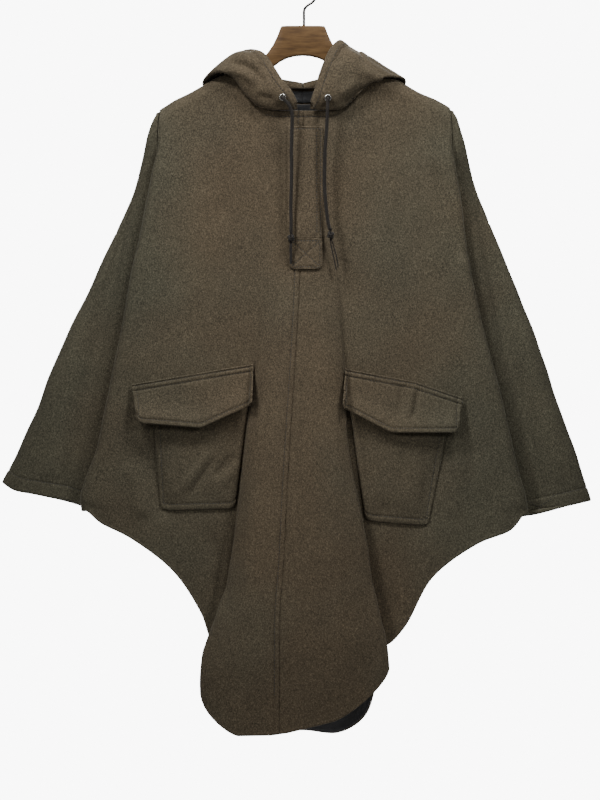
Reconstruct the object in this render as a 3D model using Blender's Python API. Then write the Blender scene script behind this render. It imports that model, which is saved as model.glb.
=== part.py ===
"""Hooded pullover poncho coat, hanging flat on a wooden hanger.

The frame is +Z up with the front facing -Y. The origin is the inside top of the hanger's hook.
Tables are in millimetres: 'down' is measured below the origin, 'across' to the wearer's left (+X),
'forward' towards the front (-Y). Every sheet of cloth is a wall of even thickness, lofted through
feature lines: the centre seam, the round forward fold at the centre, and the folds over the sleeves.
"""

import math

import bmesh
import bpy
import numpy as np
from mathutils import Vector
from mathutils.bvhtree import BVHTree

MM = 0.001
GAP = 0.6
SLEEVE_GAP = 3.0
WOOL = 2.8
PATCH = 2.4
LINING = 1.0
PATCH_LIFT = 0.9
LINING_LIFT = 1.4

# ---------------------------------------------------------------- lines of the body: (down, across)

CENTRE_SEAM = ((190, 1), (439, -4.5), (754, -22.5), (874, -28.5), (964, -34.5), (1150, -35))
LEFT_ROLL = ((190, -26), (364, -34), (484, -47), (604, -68), (754, -90), (844, -101),
             (919, -115), (979, -133), (1020, -150), (1060, -153), (1100, -146))
RIGHT_ROLL = ((190, 28), (364, 34), (454, 46), (544, 54), (634, 60), (709, 66), (784, 81),
              (844, 93), (919, 104), (1001, 123), (1030, 127), (1100, 118))
LEFT_FOLD = ((190, -213), (253, -219), (314, -229), (390, -244), (445, -257), (538, -273),
             (604, -287), (661, -298), (707, -307), (754, -326), (785, -333), (810, -328))
RIGHT_FOLD = ((190, 219), (253, 225), (314, 232), (373, 240), (445, 250), (526, 268), (604, 289),
              (649, 300), (716, 316), (751, 324), (773, 331), (810, 338))

# ---------------------------------------------------------------- depths of the body, by height

# down, forward at the roll's foot, forward at the sleeve fold
PANEL_FORWARD = ((190, 31, 14), (250, 32, 21), (300, 32, 27), (400, 33, 31), (500, 35, 33),
                 (600, 38, 35), (700, 41, 35), (800, 43, 33), (900, 44, 32), (1150, 46, 32))
# down, forward at the crest, foot of the left side past its edge, foot of the right side past its edge
ROLL_DEPTH = ((190, 35, -24, -20), (300, 38, -24, -16), (400, 44, -22, -12), (500, 54, -18, -10),
              (600, 66, -12, -7), (700, 78, -5, 0), (800, 88, 3, 7), (900, 97, 12, 12),
              (1000, 105, 18, 14), (1150, 110, 18, 14))
# down, how far the sleeve fold tucks in behind its edge
FOLD_TUCK = ((190, 0), (215, 2), (253, 8), (314, 20), (400, 28), (500, 33), (600, 36), (700, 34), (810, 30))
# down, forward at the back's foot, at its sleeve fold, and at its crest
BACK_DEPTH = ((170, 22, 14, 24), (250, 28, 21, 29), (300, 31, 27, 33), (400, 34, 31, 38),
              (500, 36, 33, 44), (600, 39, 35, 52), (700, 42, 35, 60), (800, 44, 33, 68),
              (900, 46, 32, 76), (1000, 47, 32, 82), (1150, 48, 32, 86))
BACK_ROLL = ((190, 30), (400, 44), (600, 62), (800, 84), (919, 98), (1000, 108), (1060, 104), (1150, 88))
BACK_FOLD_INSET = 4
BACK_FOOT_PAST = -20
LAYER_STEP = 9
SHOULDER_ROUND = 15
# how quickly the fold's rise at the shoulder's corner is lost below it
SHOULDER_CORNER = 20
# The fold over a sleeve, from its front to the sleeve's own layer: inward and forward where it is shut,
# at the shoulder, and where it is open, lower down. Inward is in mm, past the tuck where it is hidden.
# name, shut inward, shut share of depth, open inward, share of tuck, open layers behind, rise at its top
FOLD_PATH = (
    ("front", 8.0, 1.00, 6.0, 0, 0.00, 9.0),
    ("nose", 5.5, 0.99, 0.0, 0, 0.50, 7.5),
    ("inner face", 3.0, 0.97, 5.0, 0, 1.00, 6.0),
    ("before the turn", 1.0, 0.94, -1.0, 1, 1.20, 4.5),
    ("turn", -1.0, 0.90, 0.0, 1, 1.50, 3.0),
    ("after the turn", -3.0, 0.86, -1.0, 1, 1.80, 1.3),
    ("sleeve", -6.0, 0.80, -6.0, 1, 2.00, 0.0),
)
FOLD_OPEN_AT = 22

# ---------------------------------------------------------------- rails between foot and sleeve fold

# share across at the top and at the hem, down at the top, down at the front's hem and at the back's
LEFT_SIDE_RAILS = ((0.15, 0.07, 185, 993, 982), (0.215, 0.20, 126, 953, 937), (0.45, 0.42, 146, 890, 876),
                   (0.73, 0.70, 172, 841, 835), (0.88, 0.90, 184, 817, 812))
RIGHT_SIDE_RAILS = ((0.15, 0.07, 185, 1000, 986), (0.215, 0.21, 122, 973, 942), (0.45, 0.42, 142, 900, 875),
                    (0.73, 0.70, 171, 849, 841), (0.88, 0.90, 182, 828, 821))
# down at the top and at the hem, for the seam, shoulder of the roll, edge of the roll, and its foot
LEFT_ROLL_ENDS = ((201, 1128), (201, 1129), (201, 1074), (199, 994))
RIGHT_ROLL_ENDS = ((201, 1128), (201, 1103), (201, 1036), (199, 998))
BACK_ROLL_ENDS = ((187, 1138), (186, 1141), (184, 1112), (180, 992))
LEFT_FOLD_ENDS = (201, 800)
RIGHT_FOLD_ENDS = (198, 806)
BACK_NECK_SIDE = 172
BACK_HEM_RISE = 5
BODY_ROWS = 26
BACK_ROWS = 22
SLEEVE_ROWS = 17
# how many columns of cloth there are between one rail and the next
FRONT_COLUMNS = (2, 2, 2, 2, 1, 2, 2, 1, 1, 2, 1, 1, 1, 1)
BACK_COLUMNS = (1, 1, 1, 1, 1, 2, 2, 1, 1, 1, 1, 1, 1, 1)
SLEEVE_COLUMNS = (1, 1, 1, 1, 2, 1, 2, 2, 1, 2, 1, 1, 1, 1)

# ---------------------------------------------------------------- sleeves

# down, across, along the outer edge from the shoulder point to the cuff
LEFT_OUTER = ((204.5, -219.5), (210, -223), (218.5, -227), (232, -232), (262, -241.5), (298, -255),
              (352, -276), (406, -297.5), (463, -320), (526, -349.5),
              (604, -384), (646, -398.5), (686, -417.5), (722, -433), (758, -452))
RIGHT_OUTER = ((202.5, 226), (207, 229.5), (214, 232.5), (228, 236.5), (250, 244), (280, 255),
               (334, 274.5), (388, 293.5), (433, 310), (526, 343.8),
               (604, 371.5), (646, 385), (694, 403), (742, 419.5), (785, 433))
SLEEVE_TOP_DROP = 2
# how far each cuff hangs below a straight line, at the three places between its fold and its edge
CUFF_SAG = {-1: (-1.5, 3, 6), 1: (4, 2, 0.5)}
BACK_CUFF_DROP = 5

# ---------------------------------------------------------------- hood, a row for each section

# Each section runs from the neck seam out under the hood, round its roll and back to the face edge.
# Columns: seam, crest, under, roll, top, edge, and each of those is (across, down, forward).
LEFT_HOOD = (
    ((-10, 199, 40), (-12, 197, 42), (-13.5, 195, 43), (-14, 192, 44), (-12.5, 189.5, 44), (-9.5, 187, 43)),
    ((-27, 199.5, 39), (-32, 198, 41), (-35, 194, 43), (-34, 187, 47), (-27, 178, 49), (-17, 172, 45)),
    ((-47, 199, 37), (-56, 196, 39), (-62, 190, 42), (-61, 178, 47), (-48, 164, 50), (-31, 155, 43)),
    ((-64, 195, 33), (-74, 187, 36), (-81, 176, 39), (-82, 161, 43), (-66, 142, 47), (-45, 133, 38)),
    ((-78, 180, 28), (-88, 168, 33), (-99, 156, 35), (-106, 143, 38), (-86, 122, 39), (-58, 115, 26)),
    ((-79, 155, 18), (-87, 132, 32), (-105, 137, 34), (-127, 140, 31), (-100, 114, 23), (-72, 108, 8)),
    ((-81, 121, 0), (-88, 113, 2), (-115, 132, 2), (-149, 152, 4), (-109, 116, 0), (-82, 107, -12)),
    ((-80, 146, -24), (-94, 124, -31), (-117, 140, -38), (-147, 175, -33), (-122, 138, -40), (-80, 110, -26)),
    ((-78, 168, -30), (-88, 148, -36), (-108, 190, -42), (-126, 242, -44), (-110, 180, -60), (-76, 122, -44)),
    ((-46, 182, -32), (-52, 160, -37), (-70, 240, -46), (-80, 330, -52), (-70, 240, -74), (-46, 142, -57)),
    ((0, 184, -32), (0, 162, -37), (0, 262, -48), (0, 372, -57), (0, 262, -81), (0, 152, -62)),
)
RIGHT_HOOD = (
    ((12, 199, 40), (14, 197, 42), (15.5, 195, 43), (16, 192, 44), (14.5, 189.5, 44), (11.5, 187, 43)),
    ((29, 199.5, 39), (34, 198, 41), (38, 193, 43), (38, 186, 47), (29, 176, 49), (18, 168, 45)),
    ((48, 199, 37), (56, 196, 39), (63, 188, 42), (63, 176, 46), (45, 158, 49), (25, 145, 43)),
    ((63, 194, 33), (72, 185, 36), (81, 173, 38), (84, 160, 42), (60, 134, 46), (33, 124, 38)),
    ((77, 178, 28), (88, 165, 32), (102, 154, 35), (114, 152, 36), (79, 118, 37), (43, 104, 26)),
    ((79, 152, 18), (87, 129, 32), (106, 135, 34), (131, 148, 29), (90, 119, 22), (54, 93, 8)),
    ((81, 117, 0), (87, 110, 2), (112, 129, 2), (150, 155, 4), (102, 121, 0), (60, 97, -12)),
    ((80, 144, -24), (94, 124, -31), (117, 140, -38), (148, 178, -33), (112, 137, -40), (64, 104, -26)),
    ((78, 168, -30), (88, 148, -36), (108, 190, -42), (128, 244, -44), (108, 178, -60), (64, 118, -44)),
    ((46, 182, -32), (52, 160, -37), (70, 240, -46), (80, 330, -52), (70, 240, -74), (40, 140, -57)),
    ((0, 184, -32), (0, 162, -37), (0, 262, -48), (0, 372, -57), (0, 262, -81), (0, 152, -62)),
)
HOOD_COLUMNS = (2, 2, 3, 3, 2)
# where its rows are, counted in sections
HOOD_ROWS = (0, 0.5, 1, 1.5, 2, 2.6, 3.2, 3.8, 4.3, 4.7, 5, 5.2, 5.4, 5.6, 5.85, 6.1, 6.35, 6.7, 7.1, 7.5,
             8, 8.5, 9, 9.4, 9.75, 10)
HOOD_CLEARANCE = 4.7
SIDES = (("left", -1), ("right", 1))
# node, the cloth that it lines, and the columns and rows of it that it covers
LININGS = (("neck_facing", "back", (12, 19), (0, 4)), ("back_lining", "back", (14, 18), (19, 22)),
           ("hood_lining_left", "hood_left", (0, 2), (18, 26)),
           ("hood_lining_right", "hood_right", (11, 13), (18, 26)),
           ("cuff_lining_left", "sleeve_left", (10, 15), (13, 17)),
           ("cuff_lining_right", "sleeve_right", (2, 7), (13, 17)))

# ---------------------------------------------------------------- pieces sewn on the fronts

# share along the flap, across, down: the top edge, then the bottom edge
LEFT_FLAP_TOP = ((0, -256, 611), (1, -75, 581))
LEFT_FLAP_BOTTOM = ((0, -248, 660), (0.06, -241, 668), (0.55, -154, 675), (0.96, -82, 643), (1, -76, 636))
RIGHT_FLAP_TOP = ((0, 64, 588), (0.58, 166, 607), (1, 238, 631))
RIGHT_FLAP_BOTTOM = ((0, 60, 640), (0.06, 68, 649), (0.42, 134, 682), (0.95, 225, 682), (1, 232, 674))
LEFT_BAG = {"top_left": (-226, 632), "top_right": (-92, 611),
            "bottom_left": (-213, 799), "bottom_right": (-107, 796)}
RIGHT_BAG = {"top_left": (78, 612), "top_right": (222, 646),
             "bottom_left": (93, 814), "bottom_right": (188, 822)}
BAG_CORNER = 12
FLAP_LIFT = PATCH_LIFT + PATCH + 0.9
# down, left edge, right edge
PLACKET = ((224.5, -22.5, 28.5), (391.5, -22.5, 28.5))
PLACKET_BOX = ((392.5, -20, 28.5), (431, -20, 28.5), (438, -16, 24))

# ---------------------------------------------------------------- cords, eyelets and hanger

EYELETS = {"left": (-30.6, 181), "right": (37.2, 182)}
EYELET_RING = 4.4
EYELET_WIRE = 1.2
EYELET_LIFT = 0.7
CORD = 5.0
# a cord's points are this many diameters apart, and closer where it bends out of its eyelet
CORD_SPACING = 2.2
CORD_EASE = 1.45
# across, down, forward along each cord after it comes out of its eyelet
LEFT_CORD = ((-21, 193, 56), (-16.5, 206, 55.5), (-16.6, 240, 54.5),
             (-17, 280, 54), (-18, 344, 53), (-18, 383, 54))
RIGHT_CORD = ((36.5, 198, 55.5), (36, 213, 54.5), (33.6, 250, 53), (32.6, 282, 52.5), (32.6, 322, 52),
              (36.9, 365, 53), (40.6, 379, 54))
# across, down, forward of each knot's middle
KNOTS = {"left": (-18, 392.5, 56), "right": (41.4, 388, 55)}
# width, then the line of each cord's tail below its knot
TAILS = {
    "tail_left": (4.0, ((-18, 402, 55), (-18, 416, 53.5), (-18, 430, 53.5))),
    "tail_right": (1.8, ((41, 397.5, 55), (44, 412, 52), (47.5, 427, 51), (49.5, 439, 51))),
    "tail_right_2": (1.8, ((44.5, 397, 54), (47, 410, 52), (51, 424, 51), (52.5, 436, 51))),
}
KNOT_RADIUS = 6.0
KNOT_HALF_LENGTH = 8.0
HOOK_WIRE = 3.4
HOOK_RADIUS = 19.0
HOOK_ARC = (-52, 205)
HOOK_STEM = ((1.5, 0, -69.6), (1.5, 0, -58), (1.5, 0, -49), (2.6, 0, -44), (7.0, 0, -39.2))
# across, down at the top, down at the underside, half thickness
HANGER = ((0, 70, 115, 7), (12, 70, 116, 7), (24, 70, 119, 7), (32, 70.5, 123, 7), (34, 73, 124, 7),
          (38, 84, 127, 7), (45, 98.5, 132, 7), (52, 109, 138, 7), (60, 119, 143, 6.5), (72, 142, 157, 5.5),
          (86, 153, 168, 5.5), (110, 152, 173, 6.5), (150, 167, 190, 7), (176, 185, 204, 7), (186, 195, 207, 6),
          (190, 200, 207, 5))

COLOURS = {
    "wool": (0.100, 0.080, 0.056, 1.0),
    "lining": (0.012, 0.012, 0.014, 1.0),
    "cord": (0.012, 0.011, 0.011, 1.0),
    "metal": (0.62, 0.61, 0.58, 1.0),
    "wood": (0.30, 0.125, 0.045, 1.0),
}
ROUGHNESS = {"wool": 0.9, "lining": 0.6, "cord": 0.75, "metal": 0.28, "wood": 0.45}


# ---------------------------------------------------------------- curves

def slopes_of(x, y):
    """Slopes of a cubic through the points that never overshoots them."""
    step = np.diff(x)
    rise = np.diff(y) / step
    slope = np.empty_like(y)
    slope[0], slope[-1] = rise[0], rise[-1]
    before, after = rise[:-1], rise[1:]
    same = before * after > 0
    both = np.where(same, before + after, 1.0)
    slope[1:-1] = np.where(same, 2 * before * after / both, 0.0)
    return slope


def read(table, at, column=1):
    """A column of a table at a height, on a smooth curve through its rows."""
    rows = np.array(table, float)
    x, y = rows[:, 0], rows[:, column]
    slope = slopes_of(x, y)
    at = np.clip(at, x[0], x[-1])
    k = np.clip(np.searchsorted(x, at) - 1, 0, len(x) - 2)
    width = x[k + 1] - x[k]
    t = (at - x[k]) / width
    return (
        (2 * t**3 - 3 * t**2 + 1) * y[k]
        + (t**3 - 2 * t**2 + t) * width * slope[k]
        + (3 * t**2 - 2 * t**3) * y[k + 1]
        + (t**3 - t**2) * width * slope[k + 1]
    )


def loft(rails, columns):
    """Points across a row of rails, each rail an array of points: (columns, rows, 3)."""
    rails = np.array(rails, float)
    chord = np.sqrt(np.linalg.norm(np.diff(rails, axis=0), axis=2) + 1e-6)[..., None]
    rise = np.diff(rails, axis=0) / chord
    tangent = np.empty_like(rails)
    tangent[0], tangent[-1] = rise[0], rise[-1]
    weight = chord[1:] / (chord[:-1] + chord[1:])
    tangent[1:-1] = rise[:-1] * weight + rise[1:] * (1 - weight)
    grid = []
    for k, count in enumerate(columns):
        for step in range(count):
            t = step / count
            grid.append(
                (2 * t**3 - 3 * t**2 + 1) * rails[k]
                + (t**3 - 2 * t**2 + t) * chord[k] * tangent[k]
                + (3 * t**2 - 2 * t**3) * rails[k + 1]
                + (t**3 - t**2) * chord[k] * tangent[k + 1]
            )
    grid.append(rails[-1])
    return np.array(grid)


def points(across, down, forward):
    """World points in millimetres from the tables' three measures."""
    places = np.broadcast_arrays(across, -np.asarray(forward, float), -np.asarray(down, float))
    return np.stack(places, axis=-1)


# ---------------------------------------------------------------- cloth walls

def unit(vectors):
    return vectors / np.maximum(np.linalg.norm(vectors, axis=-1, keepdims=True), 1e-9)


class Cloth:
    """A skin of cloth: the points midway through it and the way each of them faces."""

    def __init__(self, grid, beyond=(0, 0), rows_beyond=0):
        """Columns and rows counted as beyond are the neighbours', and only turn the edges to match."""
        normal = unit(np.cross(np.gradient(grid, axis=0), np.gradient(grid, axis=1)))
        across = slice(beyond[0], grid.shape[0] - beyond[1])
        down = slice(0, grid.shape[1] - rows_beyond)
        self.grid, self.normal = grid[across, down].copy(), normal[across, down].copy()
        self.ridge = np.abs(self.grid[:, 0, 1]) < 1.5
        self.grid[self.ridge, 0, 1] = 0
        self.normal[self.ridge, 0, 1] = 0
        self.normal[:, 0] = unit(self.normal[:, 0])

    def part(self, columns, rows, lift=0.0):
        """Some of the cloth, moved along the way it faces."""
        made = Cloth.__new__(Cloth)
        made.grid = (self.grid + self.normal * lift)[columns, rows].copy()
        made.normal = self.normal[columns, rows].copy()
        made.ridge = self.ridge[columns] & (rows.start is None)
        return made

    def parted(self, first=GAP, last=GAP, end_row=0.0):
        """The same cloth drawn back by half a gap from its seams and from the shoulder's ridge."""
        made = self.part(slice(None), slice(None))
        made.grid[0] += unit(self.grid[1] - self.grid[0]) * first / 2
        made.grid[-1] += unit(self.grid[-2] - self.grid[-1]) * last / 2
        made.grid[:, -1, 0] += np.sign(self.grid[:, -2, 0]) * end_row / 2
        made.grid[self.ridge, 0, 1] = np.sign(self.grid[self.ridge, 2, 1]) * GAP / 2
        return made

    def face(self, lift):
        return self.grid + self.normal * lift


def wall_parts(skin, thickness):
    """Vertices and faces of a closed wall about a skin."""
    m, n = skin.grid.shape[:2]
    outer = skin.face(thickness / 2).reshape(-1, 3)
    inner = skin.face(-thickness / 2).reshape(-1, 3)
    at = np.arange(m * n).reshape(m, n)
    back = at + m * n
    faces = []
    for i in range(m - 1):
        for j in range(n - 1):
            faces.append((at[i, j], at[i + 1, j], at[i + 1, j + 1], at[i, j + 1]))
            faces.append((back[i, j + 1], back[i + 1, j + 1], back[i + 1, j], back[i, j]))
        faces.append((back[i, 0], back[i + 1, 0], at[i + 1, 0], at[i, 0]))
        faces.append((at[i, -1], at[i + 1, -1], back[i + 1, -1], back[i, -1]))
    for j in range(n - 1):
        faces.append((back[0, j], at[0, j], at[0, j + 1], back[0, j + 1]))
        faces.append((back[-1, j + 1], at[-1, j + 1], at[-1, j], back[-1, j]))
    return np.concatenate([outer, inner]), [tuple(int(v) for v in face) for face in faces]


def new_object(name, vertices, faces, finish):
    """A mesh object from millimetre vertices, facing outwards."""
    mesh = bpy.data.meshes.new(name)
    mesh.from_pydata([tuple(v * MM for v in vertex) for vertex in vertices], [], faces)
    shaped = bmesh.new()
    shaped.from_mesh(mesh)
    if shaped.calc_volume(signed=True) < 0:
        bmesh.ops.reverse_faces(shaped, faces=shaped.faces)
    shaped.to_mesh(mesh)
    shaped.free()
    mesh.shade_smooth()
    mesh.set_sharp_from_angle(angle=math.radians(50))
    made = bpy.data.objects.new(name, mesh)
    mesh.materials.append(finish)
    bpy.context.scene.collection.objects.link(made)
    return made


def cloth(name, skin, thickness, finish):
    return new_object(name, *wall_parts(skin, thickness), finish)


# ---------------------------------------------------------------- body and sleeves

class Half:
    """Half of the front (face 1) or of the back (face -1), on the left (side -1) or the right (side 1)."""

    def __init__(self, side, face):
        self.side, self.face = side, face
        left, front = side < 0, face > 0
        self.fold_line = LEFT_FOLD if left else RIGHT_FOLD
        self.outer_line = LEFT_OUTER if left else RIGHT_OUTER
        self.fold_ends = LEFT_FOLD_ENDS if left else RIGHT_FOLD_ENDS
        side_rails = LEFT_SIDE_RAILS if left else RIGHT_SIDE_RAILS
        if front:
            self.roll_line = LEFT_ROLL if left else RIGHT_ROLL
            self.roll_ends = LEFT_ROLL_ENDS if left else RIGHT_ROLL_ENDS
            self.side_rails = tuple(row[:4] for row in side_rails)
            self.depth, self.inset, self.crest_column = PANEL_FORWARD, 0, None
            self.foot_column = 2 if left else 3
            return
        self.roll_line = tuple((down, side * across) for down, across in BACK_ROLL)
        self.roll_ends = BACK_ROLL_ENDS
        self.side_rails = tuple((*row[:3], row[4]) for row in side_rails)
        self.side_rails = ((*self.side_rails[0][:2], BACK_NECK_SIDE, side_rails[0][4]),) + self.side_rails[1:]
        self.depth, self.inset, self.crest_column = BACK_DEPTH, BACK_FOLD_INSET, 3
        self.fold_ends = (self.fold_ends[0], self.fold_ends[1] - BACK_HEM_RISE)

    def crest(self, down):
        return read(self.depth, down, 3) if self.crest_column else read(ROLL_DEPTH, down)

    def foot(self, down):
        past = read(ROLL_DEPTH, down, self.foot_column) if self.face > 0 else BACK_FOOT_PAST
        return read(self.roll_line, down) - self.side * past

    def fold(self, down):
        return read(self.fold_line, down) - self.side * self.inset

    def ridge(self, down, top, depth):
        """Depth of cloth that rounds over the shoulder's ridge at its top."""
        reach = np.clip((down - top) / SHOULDER_ROUND, 0, 1)
        return depth * np.sqrt(1 - (1 - reach) ** 2)

    def roll_rails(self, shares):
        """The middle, the shoulder of its forward roll, the roll's edge and its foot."""
        seam, shoulder, edge, foot = (top + (hem - top) * shares for top, hem in self.roll_ends)
        middle = CENTRE_SEAM if self.face > 0 else ((0, 0), (2000, 0))
        rails = [points(read(middle, seam), seam, self.face * self.crest(seam))]
        start = read(middle, shoulder)
        across = start + 0.62 * (read(self.roll_line, shoulder) - start)
        for down, out, share in ((shoulder, across, 0.88), (edge, read(self.roll_line, edge), 0.42)):
            depth = read(self.depth, down)
            rails.append(points(out, down, self.face * (depth + share * (self.crest(down) - depth))))
        rails.append(points(self.foot(foot), foot, self.face * read(self.depth, foot)))
        return rails

    def panel_rails(self, shares):
        """The flatter cloth between the roll's foot and the sleeve fold."""
        rails = []
        for k, (share_top, share_hem, top, hem) in enumerate(self.side_rails):
            down = top + (hem - top) * shares
            share = share_top + (share_hem - share_top) * shares
            across = self.foot(down) + share * (self.fold(down) - self.foot(down))
            depth = read(self.depth, down) * (1 - share) + read(self.depth, down, 2) * share
            depth = self.ridge(down, top, depth) if k else depth - 8 * np.exp(-(((down - top) / 30) ** 2))
            rails.append(points(across, down, self.face * depth))
        return rails

    def fold_rails(self, down):
        """The fold that hides where the sleeve begins, from its front to the sleeve's own layer."""
        top = self.fold_ends[0]
        depth = self.ridge(down, top, read(self.depth, down, 2))
        tuck = read(FOLD_TUCK, down)
        opened = np.clip(tuck / FOLD_OPEN_AT, 0, 1)
        opened = opened * opened * (3 - 2 * opened)
        rails = []
        for _, shut_in, shut_depth, open_in, tucked, layers, rise in FOLD_PATH:
            inward = shut_in + (open_in + tucked * tuck - shut_in) * opened
            forward = depth * shut_depth
            forward = forward + (depth - layers * LAYER_STEP - forward) * opened
            raised = down - rise * np.exp((top - down) / SHOULDER_CORNER)
            rails.append(points(self.fold(down) - self.side * inward, raised, self.face * forward))
        return rails

    def body_rails(self, shares):
        top, hem = self.fold_ends
        down = top + (hem - top) * shares
        return self.roll_rails(shares) + self.panel_rails(shares) + self.fold_rails(down)

    def sleeve_rails(self, shares):
        """From inside the fold to just short of the sleeve's outer edge, and that edge's place."""
        top, hem = self.fold_ends
        drop = BACK_CUFF_DROP + BACK_HEM_RISE if self.face < 0 else 0
        inner = top + SLEEVE_TOP_DROP + (hem - top - SLEEVE_TOP_DROP) * shares + drop * shares**6
        outer = self.outer_line[0][0] + (self.outer_line[-1][0] - self.outer_line[0][0]) * shares
        across = read(self.outer_line, outer)
        hidden = self.fold_rails(inner)[2:]
        start = hidden[-1]
        rails = hidden
        for share, depth, sag in zip((0.33, 0.66, 0.88), (1.0, 1.0, 0.84), CUFF_SAG[self.side]):
            down = inner + (outer - inner) * share + sag * shares**6
            rails.append(points(start[:, 0] + (across - start[:, 0]) * share, down, -start[:, 1] * depth))
        return rails, points(across, outer, 0.0)


def row_set(rows, near_top=(0.0, 0.006, 0.014, 0.026, 0.045)):
    """Shares down a panel, closer together where it rounds over the shoulder."""
    return np.array(near_top + tuple(np.linspace(near_top[-1] + 0.03, 1.0, rows - len(near_top))))


def outward(grid, side, **edges):
    """A skin that faces out on either side of the body, with one neighbour's column at each end."""
    return Cloth(grid if side < 0 else grid[::-1], (1, 1), **edges)


def front_skin(side):
    """From the centre seam to the turn inside the sleeve fold."""
    shares = row_set(BODY_ROWS)
    half, other = Half(side, 1), Half(-side, 1)
    rails = other.roll_rails(shares)[1:2] + half.body_rails(shares)[:-1]
    return outward(loft(rails, (1,) + FRONT_COLUMNS), side)


def back_skin():
    shares = row_set(BACK_ROWS)
    left, right = (Half(side, -1).body_rails(shares)[:-1] for side in (-1, 1))
    rails = left[::-1] + right[1:]
    columns = BACK_COLUMNS[::-1] + BACK_COLUMNS
    return Cloth(loft(rails, columns), (1, 1))


def sleeve_skin(side):
    """Front layer from inside the fold, round the outer edge, and back along the rear layer."""
    shares = row_set(SLEEVE_ROWS, (0.0, 0.02, 0.05))
    front, edge = Half(side, 1).sleeve_rails(shares)
    rear, _ = Half(side, -1).sleeve_rails(shares)
    rails = front[1:] + [edge] + rear[:0:-1]
    return outward(loft(rails, SLEEVE_COLUMNS), side)


# ---------------------------------------------------------------- what lies on the body

class Surface:
    """The outer faces of cloth that other pieces lie on."""

    def __init__(self, skins, lift=WOOL / 2):
        vertices, faces = [], []
        for skin in skins:
            face = skin.face(lift) * MM
            m, n = face.shape[:2]
            at = len(vertices) + np.arange(m * n).reshape(m, n)
            vertices += [Vector(vertex) for vertex in face.reshape(-1, 3)]
            for i in range(m - 1):
                for j in range(n - 1):
                    faces.append([int(v) for v in (at[i, j], at[i + 1, j], at[i + 1, j + 1], at[i, j + 1])])
        self.tree = BVHTree.FromPolygons(vertices, faces)

    def at(self, across, down):
        """The point and the facing of what shows at a place, seen from the front."""
        hit, normal, _, _ = self.tree.ray_cast(Vector((across * MM, -0.5, -down * MM)), Vector((0, 1, 0)))
        normal = -normal if normal.y > 0 else normal
        return np.array(hit / MM), np.array(normal)

    def lifted(self, across, down, lift):
        """Points in front of the surface, the lift being measured square to its slope."""
        found = np.empty(across.shape + (3,))
        for place in np.ndindex(across.shape):
            hit, normal = self.at(across[place], down[place])
            found[place] = hit - np.array((0, lift / max(-normal[1], 0.5), 0))
        return found

    def cleared(self, grid, clearance):
        """The grid with every point that would lie in the surface moved out onto it."""
        grid = grid.copy()
        for place in np.ndindex(grid.shape[:2]):
            hit, normal, _, _ = self.tree.find_nearest(Vector(grid[place] * MM))
            hit, normal = np.array(hit / MM), np.array(normal)
            offset = grid[place] - hit
            height = offset @ normal
            aside = np.linalg.norm(offset - height * normal)
            if aside < 1.0 and height < clearance and height > -30:
                grid[place] = hit + normal * clearance
            elif aside >= 1.0 and np.linalg.norm(offset) < clearance:
                grid[place] = hit + offset * clearance / np.linalg.norm(offset)
        return grid


# ---------------------------------------------------------------- hood

def hood_skin(sections, side, surface):
    """Sections read along smooth curves from the front of the neck round to the middle of the back."""
    table = np.array([[points(*place) for place in section] for section in sections])
    rails = []
    for column in range(table.shape[1]):
        rail = loft(table[:, column][:, None, :], (8,) * (len(sections) - 1))[:, 0]
        where = np.linspace(0, len(sections) - 1, len(rail))
        rails.append(np.stack([np.interp(HOOD_ROWS, where, rail[:, axis]) for axis in range(3)], axis=-1))
    grid = surface.cleared(loft(rails, HOOD_COLUMNS), WOOL / 2 + HOOD_CLEARANCE)
    grid[:, -1, 0] = 0
    beyond = grid[:, -2:-1] * (-1, 1, 1)
    grid = np.concatenate([grid, beyond], axis=1)
    return Cloth(grid if side < 0 else grid[::-1], (0, 0), 1)


# ---------------------------------------------------------------- pieces laid on the fronts

def eased(count):
    """Shares along an edge, closer together at its ends, where corners are rounded."""
    share = np.linspace(0, 1, count)
    return share - 0.1 * np.sin(2 * math.pi * share)


def patch_skin(surface, top, bottom, columns, rows, lift):
    """Cloth between a top and a bottom edge, each a table of (share, across, down), laid on the surface."""
    edge = eased(columns)
    share = np.linspace(0, 1, rows)[None, :]
    high = [np.interp(edge, [row[0] for row in top], [row[k] for row in top])[:, None] for k in (1, 2)]
    low = [np.interp(edge, [row[0] for row in bottom], [row[k] for row in bottom])[:, None] for k in (1, 2)]
    across = high[0] + (low[0] - high[0]) * share
    down = high[1] + (low[1] - high[1]) * share
    return Cloth(surface.lifted(across, down, lift)[::-1])


def bag_edges(bag):
    """Top and bottom edges of a pocket bag with its lower corners rounded off."""
    left, right = np.array(bag["bottom_left"], float), np.array(bag["bottom_right"], float)
    top = ((0, *bag["top_left"]), (1, *bag["top_right"]))
    corner = BAG_CORNER / np.linalg.norm(right - left)
    bottom = [(0, left[0], left[1] - BAG_CORNER * 0.7)]
    bottom += [(corner, *(left + (right - left) * corner)), (1 - corner, *(right + (left - right) * corner))]
    bottom.append((1, right[0], right[1] - BAG_CORNER * 0.7))
    return top, tuple(bottom)


def strip_edges(table):
    """Left and right edges of a strip as the top and bottom edges of a patch, turned on its side."""
    length = table[-1][0] - table[0][0]
    left = tuple(((row[0] - table[0][0]) / length, row[1], row[0]) for row in table)
    right = tuple(((row[0] - table[0][0]) / length, row[2], row[0]) for row in table)
    return left, right


# ---------------------------------------------------------------- build

def make_finishes():
    finishes = {}
    for name, colour in COLOURS.items():
        finish = bpy.data.materials.new(name)
        finish.use_nodes = True
        shader = finish.node_tree.nodes["Principled BSDF"]
        shader.inputs["Base Color"].default_value = colour
        shader.inputs["Roughness"].default_value = ROUGHNESS[name]
        shader.inputs["Metallic"].default_value = 1.0 if name == "metal" else 0.0
        finish.diffuse_color = colour
        finishes[name] = finish
    return finishes


def clear_scene():
    for old in list(bpy.data.objects):
        bpy.data.objects.remove(old, do_unlink=True)


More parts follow.
